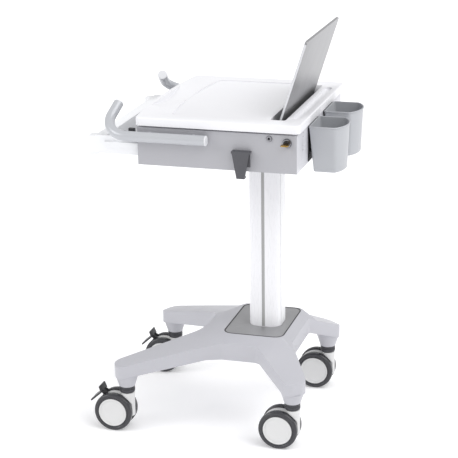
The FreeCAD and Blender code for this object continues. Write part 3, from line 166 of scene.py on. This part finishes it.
def add(tree, kind, settings=None, inputs=None, links=None):
    """One node with its properties, its plain inputs and its links."""
    node = tree.nodes.new(kind)
    for name, value in (settings or {}).items():
        setattr(node, name, value)
    for name, value in (inputs or {}).items():
        node.inputs[name].default_value = value
    for name, source in (links or {}).items():
        tree.links.new(source, node.inputs[name])
    return node


def new_material(name, **shader):
    """A material with a principled shader whose plain sockets are set."""
    material = bpy.data.materials.new(name)
    material.use_nodes = True
    tree = material.node_tree
    shade = tree.nodes["Principled BSDF"]
    for socket, value in shader.items():
        shade.inputs[socket.replace("_", " ")].default_value = value
    return material, tree, shade


def grained(name, tone, shade_tone, rough, grain_mm, depth_mm, stretch=(1, 1, 1), **shader):
    """A finish with two close tones in soft patches, and a grain in roughness and bump."""
    material, tree, shade = new_material(name, **shader)
    place = add(tree, "ShaderNodeTexCoord").outputs["Object"]
    laid = add(tree, "ShaderNodeMapping", inputs={"Scale": stretch},
               links={"Vector": place})
    grain = add(tree, "ShaderNodeTexNoise",
                inputs={"Scale": 1000 / grain_mm, "Detail": 3.0},
                links={"Vector": laid.outputs["Vector"]})
    patch = add(tree, "ShaderNodeTexNoise",
                inputs={"Scale": 1000 / PATCH_MM, "Detail": 1.0},
                links={"Vector": place})
    tint = add(tree, "ShaderNodeMix", settings={"data_type": "RGBA"},
               inputs={"A": linear(tone), "B": linear(shade_tone)},
               links={"Factor": patch.outputs["Fac"]})
    tree.links.new(tint.outputs["Result"], shade.inputs["Base Color"])
    spread = add(tree, "ShaderNodeMapRange",
                 inputs={"To Min": rough[0], "To Max": rough[1]},
                 links={"Value": grain.outputs["Fac"]})
    tree.links.new(spread.outputs["Result"], shade.inputs["Roughness"])
    bump = add(tree, "ShaderNodeBump", inputs={"Distance": depth_mm * MM},
               links={"Height": grain.outputs["Fac"]})
    tree.links.new(bump.outputs["Normal"], shade.inputs["Normal"])
    return material


# %% [markdown]
# A finish here is a real surface and how it was made: moulded, powder coated, brushed or
# plated. Each line gives two close tones, the span of roughness, the size of the grain
# and its depth in millimetres. Grain finer than the eye can see at this distance is drawn
# coarser, so that it still breaks up the highlights.

# %% Finishes
finishes = {}
# Moulded ABS: a clean white with a soft, even sheen.
finishes["worktop_white"] = grained(
    "moulded_abs_worktop", "#ededf0", "#e9e9ed", (0.34, 0.46), 2.5, 0.03)
# The same ABS from another mould, a trace whiter.
finishes["drawer_white"] = grained(
    "moulded_abs_drawer", "#eff0f2", "#ebecef", (0.36, 0.48), 2.5, 0.03)
# Powder coat on folded sheet: mid grey, satin, with almost no grain.
finishes["cabinet_enamel"] = grained(
    "powder_coated_sheet_steel", "#adadb2", "#a8a8ad", (0.30, 0.40), 3.0, 0.03)
# Powder coat on a casting: satin, and a little pebbled over the rough metal.
finishes["base_enamel"] = grained(
    "powder_coated_casting", "#b9b9bf", "#b4b4ba", (0.30, 0.40), 3.0, 0.06)
# Powder coat on an extrusion: smooth, with faint lines along its length.
finishes["column_enamel"] = grained(
    "enamelled_extrusion", "#ededf0", "#e9e9ec", (0.24, 0.32), 3.0, 0.02, (1, 1, 0.1))
# Extruded PVC: close in tone to the metal it closes, but duller.
finishes["column_cover_white"] = grained(
    "extruded_pvc_cover", "#eeeff1", "#e9eaec", (0.34, 0.42), 3.0, 0.02, (1, 1, 0.1))
# Extruded vinyl: a matt grey line in each side groove.
finishes["strip_grey"] = grained(
    "extruded_vinyl_strip", "#a8a8a8", "#a2a2a2", (0.4, 0.5), 2.0, 0.03, (1, 1, 0.1))
# Brushed stainless plate: fine lines across it spread the light one way.
finishes["brushed_plate"] = grained(
    "brushed_steel_plate", "#a4a4a6", "#9b9b9d", (0.30, 0.52), 1.6, 0.04, (1, 0.04, 1),
    Metallic=0.55)
# Zinc-plated steel: a cool, cloudy mirror.
finishes["bright_steel"] = grained(
    "zinc_plated_steel", "#b8b9bc", "#acaeb2", (0.28, 0.4), 4.0, 0.02, Metallic=1.0)
# Cold-rolled slide steel: plated like the stems, with lines along the travel.
finishes["zinc_steel"] = grained(
    "cold_rolled_slide_steel", "#a6a8ab", "#9da0a4", (0.3, 0.42), 4.0, 0.02, (1, 0.1, 1),
    Metallic=1.0)
# Moulded nylon: near black and satin.
finishes["dark_plastic"] = grained(
    "moulded_nylon_dark", "#3a3a3f", "#35353a", (0.36, 0.5), 1.6, 0.03)
# Satin coat on a bent tube: one long soft highlight along each bend.
finishes["handle_aluminium"] = grained(
    "satin_coated_tube", "#bcbec2", "#b6b8bd", (0.28, 0.36), 2.0, 0.02, Metallic=0.15)
# Moulded plug plastic: pale, and duller than the tube that it closes.
finishes["light_plastic"] = grained(
    "moulded_plug_plastic", "#dfe0e3", "#d9dade", (0.38, 0.5), 1.6, 0.03)
# Glass-filled nylon: dark grey, slightly mottled by its fibres.
finishes["hook_grey"] = grained(
    "glass_filled_nylon", "#515156", "#4a4a4f", (0.34, 0.5), 1.6, 0.05)
# Bright chrome: a sharp mirror. Its colour is kept dark as a painted reflection of dark
# surroundings, which the white studio lacks.
finishes["lock_chrome"] = grained(
    "bright_chrome", "#8e8e92", "#86868a", (0.06, 0.12), 3.0, 0.01, Metallic=1.0)
# Blackened steel and black rubber alike: a dull near black, also used as painted shade in
# the gap round the cover plate.
finishes["dark_metal"] = grained(
    "blackened_steel", "#2b2b2e", "#252528", (0.4, 0.55), 2.0, 0.03)
# Cut brass: a warm yellow metal, the only colour on the cart.
finishes["key_brass"] = grained(
    "cut_brass", "#b9974f", "#a98743", (0.2, 0.32), 1.2, 0.02, Metallic=1.0)
# Moulded polypropylene: waxy light grey.
finishes["bin_grey"] = grained(
    "moulded_polypropylene", "#b4b6ba", "#aeb0b5", (0.34, 0.46), 2.0, 0.03)
# Brushed anodised aluminium: grey, with lines that run up the lid.
finishes["laptop_aluminium"] = grained(
    "brushed_anodised_aluminium", "#a6a6a8", "#98989a", (0.32, 0.46), 6.0, 0.01,
    (1, 0.05, 0.05), Metallic=0.6)
# A switched-off display: black and nearly a mirror.
finishes["display_glass"] = grained(
    "switched_off_display", "#0d0e11", "#101216", (0.05, 0.09), 20.0, 0.0)
# Painted magnesium: dark grey and satin.
finishes["laptop_dark"] = grained(
    "magnesium_casing", "#3c3d40", "#37383b", (0.4, 0.52), 1.6, 0.03)
# Moulded nylon: a pale neutral grey, which reads as white beside the tyres.
finishes["caster_white"] = grained(
    "moulded_nylon_white", "#d6d6d6", "#d1d1d1", (0.3, 0.42), 2.0, 0.03)
# Thermoplastic rubber: charcoal, polished by its mould, so it takes bright arcs.
finishes["tyre_rubber"] = grained(
    "thermoplastic_rubber", "#3a3a3e", "#343438", (0.18, 0.28), 1.6, 0.05)
# Moulded nylon: black, with a fine leathery grain.
finishes["pedal_black"] = grained(
    "moulded_nylon_black", "#2a2a2e", "#242428", (0.34, 0.48), 1.6, 0.04)
print("finishes", len(finishes))

# %% [markdown]
# The cabinet is one folded sheet of one grey. Its rear panel faces the main light, and that
# light is painted on as a lighter grey: a ramp on the depth coordinate changes the tone
# just before the rear face, so one material serves both.

# %% Painted light on the rear panel
REAR_FACE_MM = 228.9
TONE_FADE_MM = 0.4


def painted_light_beyond(material, tone, depth_mm):
    """Painted light: a second, lighter tone on the faces that lie beyond a depth."""
    tree = material.node_tree
    shade = tree.nodes["Principled BSDF"]
    tint = shade.inputs["Base Color"].links[0].from_socket
    place = add(tree, "ShaderNodeTexCoord").outputs["Object"]
    depth = add(tree, "ShaderNodeSeparateXYZ", links={"Vector": place}).outputs["Y"]
    beyond = add(tree, "ShaderNodeMapRange", inputs={"From Min": depth_mm * MM,
                 "From Max": (depth_mm + TONE_FADE_MM) * MM}, links={"Value": depth})
    both = add(tree, "ShaderNodeMix", settings={"data_type": "RGBA"},
               inputs={"B": linear(tone)},
               links={"Factor": beyond.outputs["Result"], "A": tint})
    tree.links.new(both.outputs["Result"], shade.inputs["Base Color"])


# Painted light: the rear face is drawn lighter, where the main light falls on it.
painted_light_beyond(finishes["cabinet_enamel"], "#cfcfd4", REAR_FACE_MM)
print("rear panel tone from", REAR_FACE_MM, "mm")

# %% [markdown]
# Every part names the slot of its finish. The floor is a backlit acrylic table, as
# product studios have: it gives off a little light of its own and so stays white.

# %% Finishes on the parts and the floor
FLOOR_GLOW = 0.16

slot_of = {row["node"]: row["material_slot"] for row in frame["record"]["subparts"]}
for name, part in nodes.items():
    part.data.materials.clear()
    part.data.materials.append(finishes[slot_of[name]])
floor.data.materials.append(grained(
    "backlit_acrylic_table", "#fbfbfc", "#f8f8fa", (0.85, 0.95), 6.0, 0.0,
    Emission_Color=(1.0, 1.0, 1.0, 1.0), Emission_Strength=FLOOR_GLOW))
print("dressed parts", len(nodes))

# %% [markdown]
# An operator acts on whatever is selected, so each step starts by choosing one piece and
# then the faces, edges or points of it that are meant, by their place or direction.

# %% Selecting a piece and parts of it
FACING = 0.9                       # how squarely a face looks along an axis
NEAR = 0.1 * MM                    # two places nearer than this are the same


def only(piece):
    """Makes a piece the single selected and active one."""
    bpy.ops.object.select_all(action="DESELECT")
    piece.select_set(True)
    bpy.context.view_layer.objects.active = piece


def pick(piece, kind, test):
    """Selects the faces, edges or vertices that pass a test, in edit mode."""
    bpy.ops.object.mode_set(mode="EDIT")
    bpy.ops.mesh.select_mode(type=kind)
    bpy.ops.mesh.select_all(action="DESELECT")
    bpy.ops.object.mode_set(mode="OBJECT")
    mesh = piece.data
    if kind == "FACE":
        for face in mesh.polygons:
            face.select = test(face.center, face.normal)
    elif kind == "EDGE":
        for edge in mesh.edges:
            first, last = (mesh.vertices[i].co for i in edge.vertices)
            edge.select = test(first, last)
    else:
        for vertex in mesh.vertices:
            vertex.select = test(vertex.co)
    bpy.ops.object.mode_set(mode="EDIT")


# %% [markdown]
# Three finishing steps come back for every piece: its faces are made to look outwards,
# its sharp edges get a radius, and it is put on its body with its finish.

# %% Finishing a piece
SMOOTH_ANGLE = 40
SHARP_ANGLE = 30


def turned_out(piece):
    """Makes all faces look outwards."""
    only(piece)
    bpy.ops.object.mode_set(mode="EDIT")
    bpy.ops.mesh.select_all(action="SELECT")
    bpy.ops.mesh.normals_make_consistent(inside=False)
    bpy.ops.object.mode_set(mode="OBJECT")


def rounded(piece, radius_mm, steps=3, sharp=SHARP_ANGLE):
    """Rounds the edges sharper than an angle, and shades the piece smooth."""
    only(piece)
    bevel = piece.modifiers.new("edge_radius", "BEVEL")
    bevel.width = radius_mm * MM
    bevel.segments = steps
    bevel.limit_method = "ANGLE"
    bevel.angle_limit = math.radians(sharp)
    bpy.ops.object.modifier_apply(modifier=bevel.name)
    bpy.ops.object.shade_smooth_by_angle(angle=math.radians(SMOOTH_ANGLE))


def placed(piece, body, slot, *stands_for):
    """Puts a finished piece on its body, with its finish and the parts it stands for."""
    only(piece)
    bpy.ops.object.transform_apply(location=True, rotation=True, scale=True)
    piece.data.materials.clear()
    piece.data.materials.append(finishes[slot])
    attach(piece, body)
    for node in stands_for:
        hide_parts(node)


# %% [markdown]
# The parts of the frame have knife-sharp edges, as a machined block would. Moulded and
# cast parts never do: their small radii catch the light. Each of these pieces is a copy
# of a part whose loose triangles are merged, and a bevel then rounds its sharp edges.

# %% Parts with rounded edges
FLAT_ANGLE = 0.4
WELD_MM = 0.01
CASTERS = ("front_right", "front_left", "rear_right", "rear_left")

bodies = frame["record"]["behaviour"]["bodies"]
body_of = {node: body for body, members in bodies.items() for node in members}


def softened(node, radius_mm):
    """A copy of a part with rounded edges, which stands for the part."""
    piece = bpy.data.objects.new(node + "_soft", nodes[node].data.copy())
    bpy.context.scene.collection.objects.link(piece)
    only(piece)
    bpy.ops.object.mode_set(mode="EDIT")
    bpy.ops.mesh.select_all(action="SELECT")
    bpy.ops.mesh.remove_doubles(threshold=WELD_MM * MM)
    bpy.ops.mesh.dissolve_limited(angle_limit=math.radians(FLAT_ANGLE))
    bpy.ops.object.mode_set(mode="OBJECT")
    rounded(piece, radius_mm)
    placed(piece, body_of[node], slot_of[node], node)
    return piece


edge_radii = {"base_casting": 5.0, "worktop": 1.2, "cord_hook": 1.2, "cabinet_shell": 0.6,
              "drawer_tray": 0.8, "swivel_collars": 0.8, "key": 0.5, "bin_brackets": 0.8,
              "hub_cover_plate": 0.5, "caster_front_right_pedal": 1.2,
              "caster_front_left_pedal": 1.2, "laptop_lid": 0.8, "handle_end_plugs": 0.8}
for caster in CASTERS:
    edge_radii["caster_" + caster + "_housing"] = 1.5
    edge_radii["caster_" + caster + "_guards"] = 0.6
for node, radius in edge_radii.items():
    piece = softened(node, radius)
    print(node, "faces", len(piece.data.polygons), "radius", radius)

# %% [markdown]
# A caster wheel is a nylon hub with a rubber tyre moulded on to it. The tyre starts as a
# drum. Insets in its two sides make the bead and a groove, the middle is taken out and
# the two loops are bridged, and a bevel rounds the shoulders, where the light runs.

# %% Tyre
WHEEL_R = 50.0
WHEEL_WIDTH = 18.5
HUB_R = 37.0
WHEEL_SIDES = 96
TYRE_SHOULDER = 6.0
SHOULDER_STEPS = 7
SHOULDER_PROFILE = 0.55
TYRE_EDGE_R = 0.3
SIDE_RINGS = ((8.2, 0.0), (0.8, -0.9), (1.2, 0.0), (0.8, 1.1), (2.0, 0.0))


def drum(radius_mm, width_mm, sides):
    """A drum about the X axis at the origin."""
    bpy.ops.object.select_all(action="DESELECT")
    bpy.ops.mesh.primitive_cylinder_add(vertices=sides, radius=radius_mm * MM,
                                        depth=width_mm * MM, rotation=(0, math.pi / 2, 0))
    piece = bpy.context.object
    bpy.ops.object.transform_apply(rotation=True)
    return piece


def stepped(piece, side, rings):
    """Insets a drum's side ring by ring, each ring moved in or out along the axle."""
    pick(piece, "FACE", lambda at, normal: normal.x * side > FACING)
    for width_mm, out_mm in rings:
        bpy.ops.mesh.inset(thickness=width_mm * MM)
        bpy.ops.transform.translate(value=(side * out_mm * MM, 0, 0))


def on_ring(point, radius_mm):
    """Whether a point lies on the circle of a radius about the axle."""
    return abs(math.hypot(point.y, point.z) - radius_mm * MM) < NEAR


def runs_round(first, last, radius_mm):
    """Whether an edge lies on that circle, and not along the axle."""
    return (abs(first.x - last.x) < NEAR
            and on_ring(first, radius_mm) and on_ring(last, radius_mm))


tyre = drum(WHEEL_R, WHEEL_WIDTH, WHEEL_SIDES)
stepped(tyre, 1, SIDE_RINGS)
stepped(tyre, -1, ((WHEEL_R - HUB_R, 0.0),))
pick(tyre, "FACE", lambda at, normal: math.hypot(at.y, at.z) < MM)
bpy.ops.mesh.delete(type="FACE")
pick(tyre, "EDGE", lambda first, last: runs_round(first, last, HUB_R))
bpy.ops.mesh.bridge_edge_loops()
pick(tyre, "EDGE", lambda first, last: runs_round(first, last, WHEEL_R))
bpy.ops.mesh.bevel(offset=TYRE_SHOULDER * MM, segments=SHOULDER_STEPS,
                   profile=SHOULDER_PROFILE)
bpy.ops.object.mode_set(mode="OBJECT")
rounded(tyre, TYRE_EDGE_R, 2)
print("tyre faces", len(tyre.data.polygons), "size mm",
      [round(v * 1000, 1) for v in tyre.dimensions])

# %% [markdown]
# The hub's face has a raised rim round a shallow dish, which takes the light as a bright
# ring. Its inner side is bored for the axle.

# %% Hub, and the eight wheels
HUB_FACE = ((0.5, 0.9), (2.6, 0.2), (1.8, -2.2), (8.0, 0.6), (6.0, -0.9))
BORE_R = 4.3
BORE_DEPTH = 14.0
HUB_EDGE_R = 0.4
HUB_SHARP_ANGLE = 12

hub = drum(HUB_R, WHEEL_WIDTH, WHEEL_SIDES)
stepped(hub, 1, HUB_FACE)
stepped(hub, -1, ((HUB_R - BORE_R, 0.0),))
bpy.ops.mesh.extrude_region_move(TRANSFORM_OT_translate={"value": (BORE_DEPTH * MM, 0, 0)})
bpy.ops.object.mode_set(mode="OBJECT")
rounded(hub, HUB_EDGE_R, sharp=HUB_SHARP_ANGLE)

for caster in CASTERS:
    for side in ("right", "left"):
        for kind, made in (("tyre", tyre), ("hub", hub)):
            node = "caster_" + caster + "_" + kind + "_" + side
            piece = bpy.data.objects.new(node + "_wheel", made.data.copy())
            bpy.context.scene.collection.objects.link(piece)
            first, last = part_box("caster_" + caster + "_tyre_" + side)
            turn = 0 if side == "right" else math.pi
            piece.matrix_world = Matrix.LocRotScale((first + last) / 2,
                                                    Euler((0, 0, turn)), None)
            placed(piece, body_of[node], slot_of[node], node)
for made in (tyre, hub):
    bpy.data.objects.remove(made)
print("wheels 8")

# %% [markdown]
# The two bins are thin polypropylene cups with a flat back, an arched outer end and a
# rolled rim. Each starts as a flat floor whose outer edge is bowed. The floor is pulled
# up and widened to the rim, its corners are rounded, and the wall gets its thickness.

# %% Bins
BIN_HALF_BOTTOM = 50.0
BIN_HALF_TOP = 56.0
BIN_BACK_BOTTOM = 151.0
BIN_BACK_TOP = 140.5
BIN_CREASE = 204.5
BIN_OUTER_BOTTOM = 222.0
BIN_OUTER_TOP = 226.9
BIN_CORNER = 5.0
BIN_WALL = 2.2
RIM_ROLL = 1.9
RIM_ROUND_STEPS = 4
ARC_CUTS = 21
SIDE_CORNER_STEPS = 5
FLOOR_CORNER_STEPS = 4


def bin_cup(node):
    """A bin cup at a part's place."""
    first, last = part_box(node)
    middle_x = (first.x + last.x) / 2
    axis_y = column_axis.y
    depth = (BIN_CREASE - BIN_BACK_BOTTOM) * MM
    bpy.ops.object.select_all(action="DESELECT")
    bpy.ops.mesh.primitive_plane_add(size=1, location=(
        middle_x, axis_y + (BIN_CREASE + BIN_BACK_BOTTOM) / 2 * MM, first.z))
    cup = bpy.context.object
    cup.name = node + "_cup"
    cup.scale = (2 * BIN_HALF_BOTTOM * MM, depth, 1)
    bpy.ops.object.transform_apply(location=True, scale=True)
    crease = axis_y + BIN_CREASE * MM
    pick(cup, "EDGE", lambda first, last: min(first.y, last.y) > crease - MM)
    bpy.ops.mesh.subdivide(number_cuts=ARC_CUTS)
    half, bulge = BIN_HALF_BOTTOM * MM, (BIN_OUTER_BOTTOM - BIN_CREASE) * MM
    arc_r = (half ** 2 + bulge ** 2) / (2 * bulge)
    for cut in range(1, ARC_CUTS + 1):
        across = half * (2 * cut / (ARC_CUTS + 1) - 1)
        pick(cup, "VERT", lambda at: at.y > crease - MM
             and abs(at.x - middle_x - across) < NEAR)
        rise = math.sqrt(arc_r ** 2 - across ** 2) - arc_r + bulge
        bpy.ops.transform.translate(value=(0, rise, 0))
    pick(cup, "VERT", lambda at: abs(abs(at.x - middle_x) - half) < NEAR)
    bpy.ops.mesh.bevel(affect="VERTICES", offset=BIN_CORNER * MM,
                       segments=SIDE_CORNER_STEPS)
    pick(cup, "FACE", lambda at, normal: True)
    height = last.z - first.z - RIM_ROLL * MM
    bpy.ops.mesh.extrude_region_move(TRANSFORM_OT_translate={"value": (0, 0, height)})
    stretch = (BIN_OUTER_TOP - BIN_BACK_TOP) / (BIN_OUTER_BOTTOM - BIN_BACK_BOTTOM)
    bpy.ops.transform.resize(value=(BIN_HALF_TOP / BIN_HALF_BOTTOM, stretch, 1),
                             center_override=(middle_x, axis_y + BIN_BACK_BOTTOM * MM, 0))
    bpy.ops.transform.translate(value=(0, (BIN_BACK_TOP - BIN_BACK_BOTTOM) * MM, 0))
    bpy.ops.mesh.delete(type="ONLY_FACE")
    pick(cup, "EDGE", lambda start, end: max(start.z, end.z) < first.z + NEAR)
    bpy.ops.mesh.bevel(offset=BIN_CORNER * MM, segments=FLOOR_CORNER_STEPS)
    bpy.ops.object.mode_set(mode="OBJECT")
    return cup


def rim_roll(cup, node):
    """A round bead that follows the cup's open edge."""
    only(cup)
    bpy.ops.object.duplicate()
    ring = bpy.context.object
    ring.name = node + "_rim"
    top = max(v.co.z for v in ring.data.vertices)
    pick(ring, "VERT", lambda at: at.z < top - NEAR)
    bpy.ops.mesh.delete(type="VERT")
    bpy.ops.object.mode_set(mode="OBJECT")
    bpy.ops.object.convert(target="CURVE")
    ring.data.bevel_depth = RIM_ROLL * MM
    ring.data.bevel_resolution = RIM_ROUND_STEPS
    bpy.ops.object.convert(target="MESH")
    bpy.ops.object.shade_smooth()
    return ring


for node in ("bin_right", "bin_left"):
    cup = bin_cup(node)
    ring = rim_roll(cup, node)
    turned_out(cup)
    wall = cup.modifiers.new("wall", "SOLIDIFY")
    wall.thickness = BIN_WALL * MM
    wall.offset = -1
    bpy.ops.object.modifier_apply(modifier=wall.name)
    bpy.ops.object.shade_smooth_by_angle(angle=math.radians(SMOOTH_ANGLE))
    placed(cup, body_of[node], slot_of[node], node)
    placed(ring, body_of[node], slot_of[node])
    print(node, "cup mm", [round(v * 1000, 1) for v in cup.dimensions])

# %% [markdown]
# A thin dark ring round the steel plate is painted shade: it stands for the shadow in the
# gap between the plate and the casting. It is a flat frame with round corners: a plane one
# ring wider than the plate, inset and emptied, then raised until it stands just proud of
# the plate.

# %% Painted shade ring round the cover plate
SHADE_RING_WIDTH = 3.0
SHADE_RING_CORNER = 25.0
SHADE_RING_PROUD = 0.6
SHADE_RING_EDGE_R = 0.4
SHADE_RING_CORNER_STEPS = 10

first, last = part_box("hub_cover_plate")
bpy.ops.object.select_all(action="DESELECT")
bpy.ops.mesh.primitive_plane_add(size=1, location=((first.x + last.x) / 2,
                                                   (first.y + last.y) / 2, first.z))
shade_ring = bpy.context.object
shade_ring.name = "plate_shade_ring"
spare = 2 * SHADE_RING_WIDTH * MM
shade_ring.scale = (last.x - first.x + spare, last.y - first.y + spare, 1)
bpy.ops.object.transform_apply(location=True, scale=True)
pick(shade_ring, "VERT", lambda at: True)
bpy.ops.mesh.bevel(affect="VERTICES", offset=SHADE_RING_CORNER * MM,
                   segments=SHADE_RING_CORNER_STEPS)
pick(shade_ring, "FACE", lambda at, normal: True)
bpy.ops.mesh.inset(thickness=SHADE_RING_WIDTH * MM)
bpy.ops.mesh.delete(type="FACE")
pick(shade_ring, "FACE", lambda at, normal: True)
bpy.ops.mesh.extrude_region_move(TRANSFORM_OT_translate={
    "value": (0, 0, last.z - first.z + SHADE_RING_PROUD * MM)})
bpy.ops.object.mode_set(mode="OBJECT")
turned_out(shade_ring)
rounded(shade_ring, SHADE_RING_EDGE_R, 2)
# Its near black finish is painted shade for the gap round the plate.
placed(shade_ring, "cart_frame", "dark_metal")
print("seal mm", [round(v * 1000, 1) for v in shade_ring.dimensions])

# %% [markdown]
# A small black cable clip is pressed under the worktop at the drawer's corner, where the
# corner between drawer and worktop lies in shade. Its black is partly the clip's own and
# partly painted shade. It starts as a block whose face is inset and pushed in, so that it
# holds a cord.

# %% Cable clip, partly painted shade
CLIP_PLACE = (226.0, -183.0, 800.0)
CLIP_SIZE = (9.0, 15.0, 9.0)
CLIP_WALL = 1.6
CLIP_EDGE_R = 0.5

bpy.ops.object.select_all(action="DESELECT")
bpy.ops.mesh.primitive_cube_add(size=1, location=[v * MM for v in CLIP_PLACE])
clip_and_shade = bpy.context.object
clip_and_shade.name = "cable_clip_and_shade"
clip_and_shade.scale = [v * MM for v in CLIP_SIZE]
bpy.ops.object.transform_apply(location=True, scale=True)
pick(clip_and_shade, "FACE", lambda at, normal: normal.x > FACING)
bpy.ops.mesh.inset(thickness=CLIP_WALL * MM)
bpy.ops.transform.translate(value=(-CLIP_WALL * MM, 0, 0))
bpy.ops.object.mode_set(mode="OBJECT")
rounded(clip_and_shade, CLIP_EDGE_R, 2)
# Its near black finish is partly painted shade for the shaded corner.
placed(clip_and_shade, "cart_frame", "dark_plastic")
print("clip mm", [round(v * 1000, 1) for v in clip_and_shade.dimensions])

# %% [markdown]
# The laptop lid's thin side is paler than its back, with a shallow channel along it. The
# faces of the lid's right side are copied off as their own piece, raised a little, inset
# and pressed in again for the channel. It takes the pale plug
# finish for its tone, though the real edge is metal.

# %% Laptop edge
EDGE_RAISE = 1.2
CHANNEL_MARGIN = 1.4
CHANNEL_DEPTH = 1.1
SIDE_FACING = 0.99

lid = bpy.data.objects["laptop_lid_soft"]
edge = bpy.data.objects.new("laptop_edge", lid.data.copy())
bpy.context.scene.collection.objects.link(edge)
side_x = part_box("laptop_lid")[1].x
only(edge)
pick(edge, "FACE", lambda at, normal: not (
    normal.x > SIDE_FACING and at.x > side_x - MM))
bpy.ops.mesh.delete(type="FACE")
pick(edge, "FACE", lambda at, normal: True)
bpy.ops.mesh.extrude_region_move(TRANSFORM_OT_translate={"value": (EDGE_RAISE * MM, 0, 0)})
bpy.ops.mesh.inset(thickness=CHANNEL_MARGIN * MM)
bpy.ops.transform.translate(value=(-CHANNEL_DEPTH * MM, 0, 0))
bpy.ops.object.mode_set(mode="OBJECT")
turned_out(edge)
placed(edge, body_of["laptop_lid"], "light_plastic")
print("laptop edge faces", len(edge.data.polygons), "mm",
      [round(v * 1000, 1) for v in edge.dimensions])
